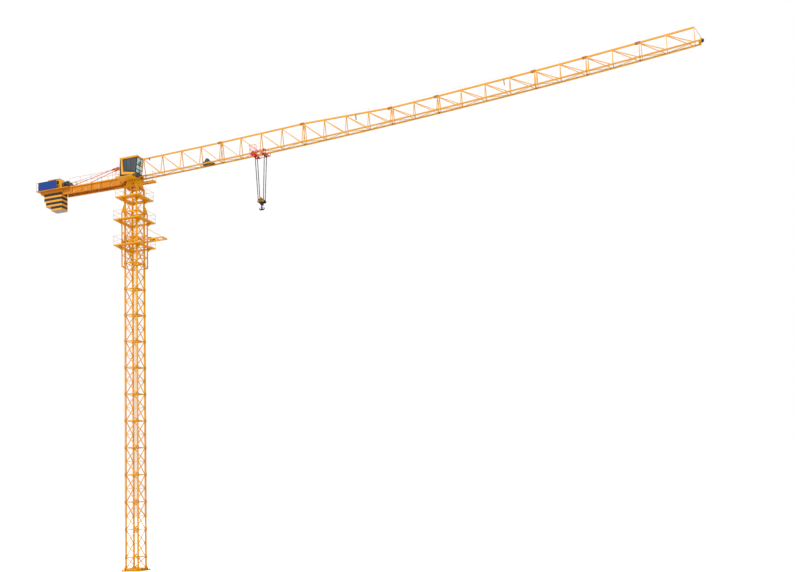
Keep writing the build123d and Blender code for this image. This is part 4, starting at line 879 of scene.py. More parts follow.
def hoist_machinery():
    """Windings on the drum, its rope guard, the motor with its fins, gears, panels and the brake."""
    place = Matrix.Translation((DRUM_X, 0, DRUM_Z))
    winding("drum_rope", place, (0, -0.0405, 0), 0.059, 0.0248, 0.0011, 22)
    guard = Piece("drum_guard", "upperworks", "grey_paint", place=place)
    guard_radius, near, middle, far = 0.036, -0.046, -0.012, 0.0235
    for y in (near, middle, far):
        guard.tube(arc((0, y, 0), guard_radius, -35, 216, 12), 0.0015, 6)
    for angle in (10, 45, 80, 115, 150, 180):
        guard.tube([spoke((0, y, 0), guard_radius, angle) for y in (near, far)], 0.0012, 6)
    guard.done()
    motor = Piece("hoist_motor", "upperworks", "grey_paint", place=place)
    motor.turned((-0.004, -0.006, 0.040), ACROSS,
                 [(0.006, -0.031), (0.0165, -0.031), (0.0165, -0.026),
                  *fins(-0.025, 0.0045, 9, 0.0145, 0.0168, 0.0018),
                  (0.0145, 0.018), (0.0172, 0.018), (0.0172, 0.026), (0.012, 0.029)], 24)
    for centre, size in (((-0.004, -0.008, 0.057), (0.016, 0.018, 0.008)),
                         ((0, 0.040, -0.004), (0.076, 0.020, 0.044)),
                         ((-0.002, 0.038, 0.028), (0.040, 0.014, 0.044)),
                         ((0.046, -0.004, -0.006), (0.020, 0.064, 0.040)),
                         ((-0.050, -0.012, 0.004), (0.018, 0.056, 0.056)),
                         ((-0.034, -0.030, 0.040), (0.030, 0.014, 0.016))):
        motor.block(centre, size)
    motor.turned((0.024, 0.052, -0.012), ACROSS,
                 [(0.011, 0), (0.0116, 0.002), (0.0116, 0.008), (0.009, 0.010)], 22)
    motor.done(bevel=0.0008)
    brake = Piece("hoist_brake", "upperworks", "dark_steel", place=place)
    brake_y, bolt_count = -0.0535, 8
    brake.turned((0, brake_y, 0), ACROSS, [(0.020, 0), (0.0215, 0.001), (0.0215, 0.0025), (0.008, 0.003)], 26)
    brake.turned((0, -0.060, 0), ACROSS, [(0.004, 0), (0.007, 0.001), (0.007, 0.007)], 18)
    for k in range(bolt_count):
        brake.nut(spoke((0, brake_y, 0), 0.015, 360 * k / bolt_count), -ACROSS, 0.0042, 0.0022)
    brake.done()


def trolley_machinery():
    """The small winch between the chords, wound drum and geared motor, and the trolley's two ropes."""
    low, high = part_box("trolley_winch")
    middle = (low.x + high.x) / 2
    place = on_jib(middle, arc_z(middle) + LOW_CHORD / 2)
    drum_x, drum_z, flank, rope = 0.028, 0.0164, -0.018, 0.0006
    winding("trolley_drum_rope", place, (drum_x, -0.0215, drum_z), 0.043, 0.0116, 0.0008, 16)
    motor = Piece("trolley_motor", "upperworks", "grey_paint", place=place)
    motor.turned((-0.035, 0.002, 0.0255), ALONG,
                 [(0.004, -0.030), (0.009, -0.030), *fins(-0.027, 0.004, 7, 0.0088, 0.0104, 0.0016),
                  (0.0105, 0.003), (0.0105, 0.008), (0.007, 0.010)], 20)
    motor.turned((drum_x, 0.0245, drum_z), ACROSS,
                 [(0.012, 0), (0.0135, 0.001), (0.0135, 0.009), (0.010, 0.012)], 22)
    motor.block((-0.012, 0.014, 0.012), (0.030, 0.018, 0.018))
    motor.plate([(-0.040, 0.004), (0.046, 0.004), (0.030, 0.034), (0.004, 0.060), (-0.014, 0.058),
                 (-0.034, 0.030)], flank, 0.005)
    motor.turned((0, 0.004, 0.030), UP, [(0.014, 0), (0.0155, 0.002), (0.0155, 0.022), (0.010, 0.030)], 20)
    motor.done(bevel=0.0006)
    ropes = Piece("trolley_ropes", "upperworks", "wire_rope")
    stations = [0.120 + NODE_PITCH * k for k in range(NODE_COUNT)]
    for y, rise in ((-0.010, 0.004), (0.010, -0.002)):
        ropes.tube([(x, y, arc_z(x) + rise) for x in stations], rope, 5)
    ropes.done()


# Counter-jib: cabinet, sign, ballast eyes, clevises and small brackets

def cabinet_fittings():
    """Doors, louvres, hinges and handles of the control cabinet, and the cap over it."""
    low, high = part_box("control_cabinet")
    doors = Piece("cabinet_doors", "upperworks")
    dark = Piece("cabinet_louvres", "upperworks", "dark_steel", louvre_paint)
    metal = Piece("cabinet_handles", "upperworks", "dark_steel")
    door_low, door_high = low.z + 0.008, high.z - 0.012
    louvre_pitch, louvre_drop, louvre = 0.0042, 0.0016, 0.0007
    for side in (-1, 1):
        face = side * high.y
        for x0, x1, vent_low, vent_high, louvres in ((low.x + 0.014, low.x + 0.070, 0.080, 0.102, 5),
                                                     (low.x + 0.073, low.x + 0.129, 0.080, 0.102, 5),
                                                     (low.x + 0.132, high.x - 0.036, 0.062, 0.106, 10)):
            doors.box((x0, face, door_low), (x1, face + side * 0.0014, door_high))
            dark.box((x0 + 0.005, face, low.z + vent_low),
                     (x1 - 0.004, face + side * 0.0018, low.z + vent_high))
            inner, outer = face + side * 0.0016, face + side * 0.0034
            for k in range(louvres):
                z = low.z + vent_low + 0.003 + louvre_pitch * k
                dark.prism([(x0 + 0.006, inner, z), (x1 - 0.005, inner, z),
                            (x1 - 0.005, outer, z - louvre_drop), (x0 + 0.006, outer, z - louvre_drop)],
                           UP * louvre)
            metal.block((x1 - 0.006, face + side * 0.0026, low.z + 0.048), (0.0022, 0.0026, 0.012))
            for hinge_z in (door_low + 0.008, door_high - 0.018):
                metal.rod((x0 + 0.001, face + side * 0.0018, hinge_z), UP, 0.0013, 0.008, 8)
    doors.box((low.x + 0.006, -high.y - 0.003, high.z), (high.x - 0.028, high.y + 0.003, high.z + 0.003))
    front = Piece("cabinet_front_vent", "upperworks", "dark_steel", louvre_paint)
    for k in range(9):
        front.block((high.x + 0.0008, 0, low.z + 0.028 + 0.006 * k), (0.0016, 0.062, 0.0036))
    for piece in (doors, front, dark, metal):
        piece.done()


def sign_frame():
    """Posts, rails and stays behind the plain board, and its thin edge."""
    low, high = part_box("sign_board")
    post, stay, rail, inset, stay_reach, post_count = 0.004, 0.0024, 0.003, 0.02, 0.030, 4
    piece = Piece("sign_frame", "upperworks")
    for k in range(post_count):
        x = low.x + inset + (high.x - low.x - 2 * inset) * k / (post_count - 1)
        piece.bar((x, high.y + post / 2, low.z), (x, high.y + post / 2, high.z), post)
        piece.bar((x, high.y + post, high.z - inset), (x, high.y + stay_reach, low.z), stay)
    for z in (low.z + 0.012, high.z - 0.012):
        piece.bar((low.x, high.y + rail / 2, z), (high.x, high.y + rail / 2, z), rail)
    piece.done()
    edge = Piece("sign_edge", "upperworks", "dark_steel")
    front = low.y - 0.0006
    edge.run([(low.x, front, low.z), (high.x, front, low.z), (high.x, front, high.z), (low.x, front, high.z)],
             0.0022, 0.0016, ACROSS, closed=True)
    edge.done()


def ballast_eyes():
    """Lifting eyes on the heads of the slabs, and keeper bars across them."""
    slab, first, count, eye_y, wire, keeper, keeper_y = 0.025, -0.966, 10, 0.022, 0.0013, 0.005, 0.058
    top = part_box("ballast_slabs")[1].z
    eyes = Piece("ballast_eyes", "upperworks", "dark_steel")
    for k in range(count):
        for y in (-eye_y, eye_y):
            foot = Vector((first - slab * (k + 0.5), y, top - 0.001))
            eyes.tube([foot + Vector((0, 0.006 * cos(radians(a)), 0.008 * sin(radians(a))))
                       for a in range(0, 181, 20)], wire, 6)
    eyes.done()
    keepers = Piece("ballast_keepers", "upperworks")
    for x in (first + 0.004, first - slab * count - 0.006):
        keepers.bar((x, -keeper_y, top - 0.012), (x, keeper_y, top - 0.012), keeper)
    keepers.done()


def tie_fittings():
    """Bodies of the turnbuckles, and the eyes and pins at both ends of the tie rods."""
    buckle_at, first_joint, joint_pitch = 0.238, 0.427, 0.1235
    body = [(0.0045, -0.006), (0.0098, -0.002), (0.0104, 0.002), (0.0104, 0.012), (0.0088, 0.015),
            (0.0094, 0.018), (0.0094, 0.048), (0.0088, 0.051), (0.0104, 0.054), (0.0104, 0.064),
            (0.0098, 0.070), (0.0045, 0.078)]
    sleeve = [(0.0028, -0.005), (0.0040, -0.004), (0.0040, 0.004), (0.0028, 0.005)]
    buckles = Piece("turnbuckles", "upperworks", "red_paint", buckle_paint)
    pins = Piece("tie_pins", "upperworks", "dark_steel")
    for side in (-1, 1):
        head = Vector((-0.013, side * 0.008, APEX_Z))
        foot = Vector((-0.8303, side * 0.052, 4.4747))
        run = foot - head
        buckles.turned(head + run * buckle_at, run.normalized(), body, 12)
        for k in range(5):
            buckles.turned(head + run * (first_joint + joint_pitch * k), run.normalized(), sleeve, 10)
        pins.turned(foot - ACROSS * 0.0085, ACROSS,
                    [(0.0045, 0), (0.0045, 0.0018), (0.003, 0.0018), (0.003, 0.017)], 14)
        buckles.rod(foot - ACROSS * 0.0026, ACROSS, 0.0065, 0.0052, 18)
        buckles.disc(head - Vector((0.004, 0.004, 0)), ACROSS, 0.0082, 0.008, 18, rim=0.0007)
    pins.turned((-0.017, -0.0145, APEX_Z), ACROSS,
                [(0.0042, 0), (0.0042, 0.002), (0.003, 0.002), (0.003, 0.029)], 14)
    buckles.done()
    pins.done()


def girder_brackets():
    """Pale brackets on the lower flanges of the girders, and bolts along their splice at the turntable."""
    web, flange_edge, chamfer_edge, length, rise, top = 0.054, 0.0632, 0.060, 0.005, 0.020, 0.026
    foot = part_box("counter_girder_near")[0].z + 0.004
    outline = [(web, 0), (flange_edge, 0), (flange_edge, rise), (chamfer_edge, top), (web, top)]
    pale = Piece("girder_brackets", "upperworks", finish=pale_paint)
    bolts = Piece("girder_bolts", "upperworks", "dark_steel")
    plates = Piece("girder_splices", "upperworks", finish=shaded_orange_paint)
    plate = 0.0016
    for side in (-1, 1):
        for x in (-0.2692, -0.4452, -0.6231, -0.7943):
            pale.prism([(x, side * out, foot + up) for out, up in outline], ALONG * length)
        plates.box((-0.112, side * web, 4.436), (-0.086, side * (web + plate), 4.459))
        for x in (-0.091, -0.099, -0.107):
            for z in (4.441, 4.454):
                bolts.nut((x, side * (web + plate), z), ACROSS * side, 0.0046, 0.0024)
    for piece in (pale, plates, bolts):
        piece.done()


# Cab: its outline in the jib's plane, then paint, panes and fittings

CAB_NEAR, CAB_FAR = -0.230, -0.107
CAB_FOOT, CAB_TOP, CAB_REAR = 4.4123, 4.6183, -0.040
KNEE, FLOOR_FRONT = Vector((0.168, 0, 4.4303)), Vector((0.115, 0, 4.4123))
FRONT_TOP = 0.185
PANE_FOOT, PANE_TOP, PANE_INSET = 4.4365, 4.6035, 0.005


def front_x(z, inset=0.0):
    """Station of the leaning front at one height."""
    return KNEE.x + (FRONT_TOP - KNEE.x) * (z - KNEE.z) / (CAB_TOP - KNEE.z) - inset


def on_sides(piece, outline, thickness):
    """A flat form on both sides of the cab."""
    for face, way in ((CAB_NEAR, -1), (CAB_FAR, 1)):
        piece.plate(outline, face, way * thickness)


def strip_round(piece, outline, width, thickness, proud):
    """A narrow strip along the edges of an outline on both sides of the cab."""
    for face, way in ((CAB_NEAR, -1), (CAB_FAR, 1)):
        y = face + way * (proud + thickness / 2)
        piece.run([(x, y, z) for x, z in outline], width, thickness, ACROSS, closed=True)


def cab_paintwork():
    """The yellow bands on the cab's sides, and the yellow edge under its roof."""
    edge_foot = CAB_TOP - 0.009
    band = Piece("cab_bands", "upperworks", finish=band_paint)
    on_sides(band, [(-0.029, CAB_TOP - 0.001), (-0.007, CAB_TOP - 0.001), (0.004, 4.461), (0.157, 4.4345),
                    (0.1655, 4.4305), (0.119, 4.4145), (-0.0235, 4.434)], 0.0008)
    on_sides(band, [(CAB_REAR, edge_foot), (FRONT_TOP - 0.001, edge_foot), (FRONT_TOP, CAB_TOP),
                    (CAB_REAR, CAB_TOP)], 0.0011)
    band.box((FRONT_TOP - 0.002, CAB_NEAR, edge_foot), (FRONT_TOP + 0.0012, CAB_FAR, CAB_TOP))
    band.done()


def cab_glazing():
    """Outer panes of the sides and the front, the foot window, and the rubber and bars round them."""
    pane, near, far = 0.0009, CAB_NEAR + PANE_INSET, CAB_FAR - PANE_INSET
    side_pane = [(0.0155, 4.601), (0.0155, 4.481), (front_x(4.4435, 0.004), 4.4435),
                 (front_x(4.601, 0.004), 4.601)]
    panes = Piece("cab_side_panes", "upperworks", "cab_glass")
    on_sides(panes, side_pane, pane)
    panes.done()
    seals = Piece("cab_seals", "upperworks", "cab_paint", rubber)
    strip_round(seals, side_pane, 0.0022, 0.0008, 0.0005)
    for x, foot in ((0.047, 4.4735), (0.104, 4.4595)):
        strip_round(seals, [(x, foot), (x + 0.0005, 4.601)], 0.0022, 0.0008, 0.0007)
    for z, width in ((PANE_FOOT, 0.0035), (4.4770, 0.0080), (4.5270, 0.0095), (PANE_TOP, 0.0045)):
        x = front_x(z) + 0.0016
        seals.bar((x, near, z), (x, far, z), 0.0016, width)
    for y, foot, proud, width in ((near, PANE_FOOT, 0.0012, 0.0035), (far, PANE_FOOT, 0.0012, 0.0035),
                                  (near + (far - near) * 0.6, 4.53, 0.0016, 0.0075)):
        seals.bar((front_x(foot) + proud, y, foot), (front_x(PANE_TOP) + proud, y, PANE_TOP),
                  width, 0.0016, ALONG)
    seals.done()
    front = Piece("cab_front_panes", "upperworks", "cab_glass", front_glass_painted_reflection)
    for low, high in ((PANE_FOOT, 4.4905), (4.4905, PANE_TOP)):
        front.prism([(front_x(low), near, low), (front_x(low), far, low), (front_x(high), far, high),
                     (front_x(high), near, high)], ALONG * pane)
    front.done()
    slope = (KNEE - FLOOR_FRONT).normalized()
    outward = Vector((slope.z, 0, -slope.x))
    start, end = FLOOR_FRONT + slope * 0.003, KNEE - slope * 0.002
    left, right = ACROSS * near, ACROSS * far
    foot = Piece("cab_foot_pane", "upperworks", "cab_glass", foot_glass_painted_reflection)
    foot.prism([start + left, end + left, end + right, start + right], outward * pane)
    foot.done()
    bars = Piece("cab_foot_bars", "upperworks", "dark_steel")
    bar, lift, margin, last_bar = 0.0009, outward * 0.0022, 0.012, 5
    for k in range(last_bar + 1):
        shift = lift + ACROSS * (near + margin + (far - near - 2 * margin) * k / last_bar)
        bars.tube([start + shift, end + shift], bar, 6)
    for spot in (start + slope * 0.008, end - slope * 0.008):
        bars.tube([spot + lift + left, spot + lift + right], bar, 6)
    bars.done()


def cab_fittings():
    """Wiper, lamps under the roof, grab rails, and the rear door with its handle and hinges."""
    wiper = Piece("cab_wiper", "upperworks", "dark_steel", rubber)
    foot = Vector((front_x(4.506) + 0.003, -0.172, 4.506))
    tip = Vector((front_x(4.580) + 0.003, -0.142, 4.580))
    arm = tip - foot
    wiper.turned(foot - ALONG * 0.001, ALONG, [(0.0062, 0), (0.0062, 0.0025), (0.004, 0.0035)], 18)
    wiper.tube([foot, foot + arm * 0.6 + ALONG * 0.0015, tip], 0.0009, 6)
    wiper.bar(tip - arm * 0.55, tip + arm * 0.12, 0.0024, 0.0012, ALONG)
    wiper.done()
    lamps = Piece("cab_lamps", "upperworks", "dark_steel")
    for y in (CAB_NEAR + 0.022, CAB_FAR - 0.022):
        centre = Vector((FRONT_TOP + 0.001, y, CAB_TOP + 0.004))
        lamps.turned(centre, (1, 0, -0.35),
                     [(0.003, -0.002), (0.0062, 0.002), (0.0068, 0.006), (0.0060, 0.0064)], 18)
        lamps.bar(centre + Vector((-0.004, 0, 0.003)), centre + ALONG * 0.003, 0.002)
    lamps.done()
    rails = Piece("cab_grab_rails", "upperworks")
    wall, rail_x, handle_x = CAB_REAR - 0.001, CAB_REAR - 0.009, CAB_REAR - 0.006
    for y in (CAB_NEAR + 0.010, CAB_FAR - 0.010):
        ends = [(wall, y, 4.462), (rail_x, y, 4.466), (rail_x, y, 4.520), (rail_x, y, 4.574),
                (wall, y, 4.578)]
        rails.tube(smooth_path(ends, 5), 0.0014, 8)
    rails.done()
    door = Piece("cab_door", "upperworks", "cab_paint")
    near, far, low, high = CAB_NEAR + 0.018, CAB_FAR - 0.018, CAB_FOOT + 0.006, CAB_TOP - 0.008
    door.run([(wall, near, low), (wall, far, low), (wall, far, high), (wall, near, high)],
             0.0032, 0.002, ALONG, closed=True)
    door.bar((wall, near, 4.508), (wall, far, 4.508), 0.003, 0.002, ALONG)
    door.done(bevel=0.0004)
    metal = Piece("cab_door_fittings", "upperworks", "dark_steel")
    y = near + 0.009
    metal.tube([(wall, y, 4.490), (handle_x, y, 4.491), (handle_x, y, 4.503), (wall, y, 4.504)], 0.0011, 6)
    for z in (4.440, 4.520, 4.590):
        metal.rod((CAB_REAR - 0.0016, far, z - 0.006), UP, 0.0016, 0.012, 10)
    metal.done()


# Trolley, falls, hook block and hook

TROLLEY_X = 1.614
FALL_TOP_X, FALL_TOP_Y, SHEAVE_DROP = 0.056, 0.028, 0.034
BLOCK_SHEAVE_X, BLOCK_SHEAVE_Y = 0.031, 0.022
FALL_TOP, BLOCK_Z = arc_z(TROLLEY_X) - SHEAVE_DROP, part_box("hoist_falls")[0].z
TROLLEY_PLACE = on_jib(TROLLEY_X, arc_z(TROLLEY_X))
WHEEL_Z, TROLLEY_FACE = 0.0059, 0.0598


def trolley_fittings():
    """Flanges and nuts of the wheels, sheaves with their guards, and buffers."""
    low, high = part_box("trolley_wheels")
    wheel, plate_face, sheave_x, buffer_x = 0.009, 0.0613, FALL_TOP_X - 0.011, 0.0845
    wheel_x = (high.x - low.x) / 2 - wheel
    wheels = Piece("trolley_wheel_rims", "trolley", "dark_steel", place=TROLLEY_PLACE)
    red = Piece("trolley_hubs", "trolley", "red_paint", buckle_paint, TROLLEY_PLACE)
    for side in (-1, 1):
        outward = ACROSS * side
        for x in (-wheel_x, wheel_x):
            red.turned((x, side * plate_face, WHEEL_Z), outward,
                       [(0.0075, 0), (0.0082, 0.0006), (0.0082, 0.0022), (0.006, 0.003)], 20)
            wheels.nut((x, side * (plate_face + 0.003), WHEEL_Z), outward, 0.0058, 0.003)
            wheels.turned((x, side * 0.0572, WHEEL_Z), outward,
                          [(wheel * 0.98, -0.001), (wheel + 0.001, 0), (wheel + 0.001, 0.0007)], 24)
        for x in (-sheave_x, sheave_x):
            wheels.nut((x, side * plate_face, -SHEAVE_DROP), outward, 0.0062, 0.003)
            for way in (-1, 1):
                wheels.turned((x, side * FALL_TOP_Y + way * 0.0022, -SHEAVE_DROP), ACROSS * way,
                              [(0.0095, 0), (0.0122, 0.0004), (0.0122, 0.0012), (0.004, 0.0016)], 24)
                red.block((x, side * FALL_TOP_Y + way * 0.0055, 0.002 - SHEAVE_DROP), (0.010, 0.0012, 0.026))
        for way in (-1, 1):
            wheels.turned((way * buffer_x, side * TROLLEY_FACE, -0.010), ALONG * way,
                          [(0.0035, 0), (0.0035, 0.003), (0.0028, 0.0045)], 14)
    wheels.done()
    red.done()


def basket_mesh():
    """Fine wires on the three open sides of the trolley's basket."""
    mesh = Piece("basket_mesh", "trolley", "red_paint", place=TROLLEY_PLACE)
    rear, front, outer, inner, foot, top = -0.0835, -0.0160, -0.1080, -0.0625, -SHEAVE_DROP, 0.064
    wire, levels, columns, end_columns = 0.0004, 6, 4, 3
    for k in range(1, levels):
        z = foot + (top - foot) * k / levels
        mesh.tube([(rear, outer, z), (front, outer, z)], wire, 4)
        for x in (rear, front):
            mesh.tube([(x, outer, z), (x, inner, z)], wire, 4)
    spots = [(rear + (front - rear) * k / columns, outer) for k in range(1, columns)]
    spots += [(x, outer + (inner - outer) * k / end_columns)
              for k in range(1, end_columns) for x in (rear, front)]
    for spot in spots:
        mesh.tube([(*spot, foot), (*spot, top)], wire, 4)
    mesh.done()


def trolley_sides():
    """Open side frames, cross beams and the basket's floor and rails, in place of the plain plates."""
    plate, bar, half, wheel_x, sheave_x = 0.003, 0.0052, 0.085, 0.065, 0.045
    brow_x, brow, notch, shoulder, foot = 0.030, 0.0115, 0.004, 0.006, -SHEAVE_DROP
    sides = Piece("trolley_sides", "trolley", "red_paint", place=TROLLEY_PLACE)
    outline = ((-half, foot), (half, foot), (half, shoulder), (wheel_x, brow), (brow_x, brow), (0, notch),
               (-brow_x, brow), (-wheel_x, brow), (-half, shoulder))
    struts = ((-wheel_x, -sheave_x), (wheel_x, sheave_x), (-brow_x, -sheave_x), (brow_x, sheave_x),
              (0.0, brow_x), (0.0, -brow_x))
    for y in (-TROLLEY_FACE, TROLLEY_FACE):
        sides.run([(x, y, z) for x, z in outline], bar, plate, ACROSS, closed=True)
        for high_x, low_x in struts:
            sides.bar((high_x, y, brow if high_x else notch), (low_x, y, foot), bar * 0.7, plate, ACROSS)
        for x, z, radius, corners in ((wheel_x, WHEEL_Z, 0.0105, 22), (sheave_x, foot, 0.0085, 20)):
            for way in (-1, 1):
                sides.rod((way * x, y - plate / 2, z), ACROSS, radius, plate, corners)
    for x, size in ((-0.075, 0.010), (0.075, 0.010), (-sheave_x, 0.005), (sheave_x, 0.005)):
        sides.bar((x, -TROLLEY_FACE, foot), (x, TROLLEY_FACE, foot), size)
    rear, front, outer, inner, top, rail = -0.0838, -0.0150, -0.1081, -0.0613, 0.066, 0.0020
    sides.box((rear, outer, foot - 0.003), (front, inner, foot))
    corners = ((rear, inner), (rear, outer), (front, outer), (front, inner))
    for z in (top, foot + 0.05):
        sides.run([(*corner, z) for corner in corners], rail)
    for corner in corners:
        sides.bar((*corner, foot), (*corner, top), rail)
    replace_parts(sides.done(), "trolley_frame")


def strand(piece, start, end, radius, twist, wires=6):
    """A laid rope: strands that wind round its middle."""
    start, end = Vector(start), Vector(end)
    along = (end - start).normalized()
    across = along.orthogonal().normalized()
    other = along.cross(across)
    a_turn, wire = 8, radius * 0.42
    steps = int((end - start).length / twist * a_turn)
    for w in range(wires):
        path = []
        for k in range(steps + 1):
            angle = 2 * pi * (k / a_turn + w / wires)
            spot = start + (end - start) * k / steps
            path.append(spot + (across * cos(angle) + other * sin(angle)) * (radius - wire))
        piece.tube(path, wire, 4)


def falls_ropes():
    """The four falls as laid ropes that run from the trolley's sheaves down to the hook block."""
    ropes = Piece("fall_ropes", "falls", "wire_rope", laid_rope)
    for x in (-1, 1):
        for y in (-1, 1):
            strand(ropes, (TROLLEY_X + x * FALL_TOP_X, y * FALL_TOP_Y, FALL_TOP),
                   (TROLLEY_X + x * BLOCK_SHEAVE_X, y * BLOCK_SHEAVE_Y, BLOCK_Z), 0.0046, 0.030)
    piece = ropes.make()
    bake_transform(piece)
    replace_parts(piece, "hoist_falls")


def hook_block():
    """Cheeks with round guards over four sheaves, the middle discs, tie bolts and the crosshead."""
    cheek, half_plate, crown_z, crown, tie_z = 0.0268, 0.0015, 0.0150, 0.0142, -0.030
    lobe_x, lobe_z, lobe = 0.0260, -0.014, 0.0160
    place = Matrix.Translation((TROLLEY_X, 0, BLOCK_Z))
    discs = Piece("block_cheeks", "hook_block", finish=block_paint, place=place)
    dark = Piece("block_rollers", "hook_block", "dark_steel", place=place)
    outline = [*arc((0, 0, crown_z), crown, 10, 171, 16), *arc((-lobe_x, 0, lobe_z), lobe, 100, 301, 20),
               Vector((-0.010, 0, tie_z)), Vector((-0.0095, 0, -0.0495)),
               Vector((0.0095, 0, -0.0495)), Vector((0.010, 0, tie_z)),
               *arc((lobe_x, 0, lobe_z), lobe, -120, 81, 20)]
    for way in (-1, 1):
        y, face, outward = way * cheek, way * (cheek + half_plate), ACROSS * way
        dark.prism([point + ACROSS * (y - half_plate) for point in outline], ACROSS * 2 * half_plate)
        for x in (-lobe_x, lobe_x):
            discs.turned((x, face, lobe_z), outward,
                         [(0.0130, 0), (0.0134, 0.0010), (0.0121, 0.0020), (0.0050, 0.0024)], 24)
            dark.nut((x, y + way * 0.0036, lobe_z), outward, 0.0056, 0.0028)
        for z, size in ((crown_z, 0.0116), (-0.010, 0.0080)):
            discs.turned((0, face, z), outward,
                         [(size, 0), (size + 0.0004, 0.0008), (size - 0.001, 0.0018)], 22)
            dark.nut((0, y + way * 0.0032, z), outward, 0.0050, 0.0024)
        for x in (-0.00495, 0.00495):
            dark.nut((x, face, tie_z), outward, 0.0038, 0.002)
    dark.block((0, 0, -0.044), (0.021, 0.0506, 0.0128))
    for z in (crown_z, tie_z):
        discs.rod((0, -cheek, z), ACROSS, 0.0022, 2 * cheek, 10)
    for x in (-lobe_x, lobe_x):
        for y in (-0.022, -0.0105, 0.0105, 0.022):
            dark.turned((x, y - 0.0035, lobe_z), ACROSS, [(0.0118, 0), (0.0136, 0.0008), (0.0122, 0.0035),
                                                          (0.0136, 0.0062), (0.0118, 0.007)], 26)
        dark.rod((x, -cheek - 0.004, lobe_z), ACROSS, 0.0038, 2 * cheek + 0.008, 14)
    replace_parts(discs.done(bevel=0.0005), "block_plates")
    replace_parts(dark.done(), "block_sheaves")


def ramshorn_hook():
    """The black ramshorn hook: shank with its nut, two horns of round section and their safety latches."""
    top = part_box("crane_hook")[1].z
    belly, last_step = -0.041, 18
    place = Matrix.Translation((TROLLEY_X, 0, top))
    hook = Piece("ramshorn", "hook", "dark_steel", hook_steel, place)
    latch = Piece("hook_latches", "hook", "grey_paint", place=place)
    hook.turned((0, 0, 0), -UP, [(0.0048, 0), (0.0052, 0.001), (0.0052, 0.010), (0.0066, 0.018),
                                 (0.0082, 0.030), (0.0080, 0.044)], 20)
    hook.nut((0, 0, -0.012), UP, 0.0155, 0.0085)
    for side in (-1, 1):
        path, radii = [], []
        for share in [k / last_step for k in range(last_step + 1)]:
            angle = radians(-160 + 215 * share)
            path.append(Vector((side * (0.0146 + cos(angle) * 0.0126), 0, belly + sin(angle) * 0.0128)))
            radii.append(0.0074 - 0.0040 * share ** 1.7)
        hook.taper(path, radii, 14)
        hook.rod((side * 0.002, -0.0028, -0.024), ACROSS, 0.002, 0.0056, 10)
        latch.bar((side * 0.0055, 0, -0.0235), (side * 0.0222, 0, belly + 0.0102),
                  0.0042, 0.0011, (side * 0.6, 0, 1))
    hook.turned((0, 0, belly - 0.004), -UP, [(0.0080, 0), (0.0086, 0.004), (0.0070, 0.011), (0.0034, 0.0148),
                                             (0.0012, 0.0158)], 20)
    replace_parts(hook.done(), "crane_hook")
    latch.done(bevel=0.0002)


def deck_grating():
    """Grating bars across the counter-jib's deck, open where the cabinet stands."""
    low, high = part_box("counter_deck")
    bare_low, bare_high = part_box("control_cabinet")
    pitch, gap, edge, level = 0.012, 0.002, 0.008, high.z - RAIL_HEIGHT + 0.0004
    near, far = low.y + edge, high.y - edge
    grate = Piece("deck_grating", "upperworks", finish=shaded_orange_paint)
    x = low.x + pitch
    while x < high.x - edge:
        under = bare_low.x - gap < x < bare_high.x + gap
        for start, end in ((near, bare_low.y - gap), (bare_high.y + gap, far)) if under else ((near, far),):
            grate.bar((x, start, level), (x, end, level), 0.0011, 0.0012)
        x += pitch
    grate.done()


for build in (ladder_rungs, mast_gussets, joint_bolts, foot_bolts, tower_rails, upper_rails, cage_rollers,
              power_pack, feed_carriage, port_covers, support_bolts, jib_joints, jib_hangers, jib_lifeline,
              tip_fittings, rope_lead, hoist_machinery, trolley_machinery, cabinet_fittings, sign_frame,
              ballast_eyes, tie_fittings, girder_brackets, cab_paintwork, cab_glazing, cab_fittings,
              trolley_fittings, basket_mesh, trolley_sides, falls_ropes, hook_block, ramshorn_hook,
              deck_grating):
    build()


# Floor, world and lamps

WHITE = (1, 1, 1, 1)
FLOOR_SIZE = 400.0


def link_all(tree, links):
    """Joins outputs to inputs in pairs."""
    for output, socket in links:
        tree.links.new(output, socket)


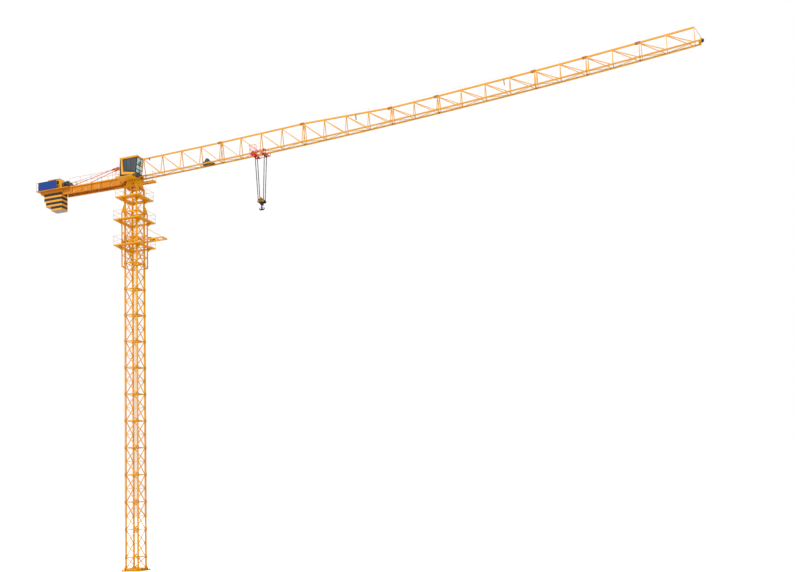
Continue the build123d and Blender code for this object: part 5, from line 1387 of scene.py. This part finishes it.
def add_floor():
    """A pale floor that keeps the crane's shadow, under an even white sky."""
    mesh = bpy.data.meshes.new("floor")
    half = FLOOR_SIZE / 2
    mesh.from_pydata([(-half, -half, 0), (half, -half, 0), (half, half, 0), (-half, half, 0)],
                     [], [(0, 1, 2, 3)])
    n = Nodes("floor")
    n.finish(srgb("F4F4F2"), 0.9)
    dim = n.add("ShaderNodeBsdfDiffuse", Color=srgb("DEDEDC"))
    glow = n.add("ShaderNodeEmission", Color=WHITE, Strength=0.5)
    both = n.add("ShaderNodeAddShader")
    choice = n.add("ShaderNodeMixShader", Fac=n.add("ShaderNodeLightPath").outputs["Is Camera Ray"])
    link_all(n.tree, ((n.shader.outputs[0], both.inputs[0]), (glow.outputs[0], both.inputs[1]),
                      (dim.outputs[0], choice.inputs[1]), (both.outputs[0], choice.inputs[2]),
                      (choice.outputs[0], n.tree.nodes["Material Output"].inputs["Surface"])))
    mesh.materials.append(n.material)
    add_object("floor", mesh)


def add_world():
    """An even sky: white where the camera or a reflection sees it, and a plain level on the crane."""
    world = bpy.data.worlds.new("sky")
    bpy.context.scene.world = world
    world.use_nodes = True
    tree = world.node_tree
    tree.nodes.clear()
    lit, seen = tree.nodes.new("ShaderNodeBackground"), tree.nodes.new("ShaderNodeBackground")
    for sky, strength in ((lit, 0.62), (seen, 1.0)):
        sky.inputs["Color"].default_value = WHITE
        sky.inputs["Strength"].default_value = strength
    path, most = tree.nodes.new("ShaderNodeLightPath"), tree.nodes.new("ShaderNodeMath")
    choice, out = tree.nodes.new("ShaderNodeMixShader"), tree.nodes.new("ShaderNodeOutputWorld")
    most.operation = "MAXIMUM"
    link_all(tree, ((path.outputs["Is Camera Ray"], most.inputs[0]),
                    (path.outputs["Is Glossy Ray"], most.inputs[1]),
                    (most.outputs[0], choice.inputs[0]), (lit.outputs[0], choice.inputs[1]),
                    (seen.outputs[0], choice.inputs[2]), (choice.outputs[0], out.inputs["Surface"])))


def add_lamp(name, strength, angle, azimuth, height):
    """A soft sun that shines from one azimuth and height, in degrees."""
    data = bpy.data.lights.new(name, "SUN")
    data.energy = strength
    data.angle = radians(angle)
    lamp = add_object(name, data)
    lamp.matrix_world = heading(azimuth, height).to_track_quat("Z", "Y").to_matrix().to_4x4()


add_floor()
add_world()
add_lamp("key_lamp", 1.9, 12, -100, 48)
add_lamp("fill_lamp", 0.35, 30, -10, 30)

bpy.context.scene.view_settings.view_transform = "Standard"
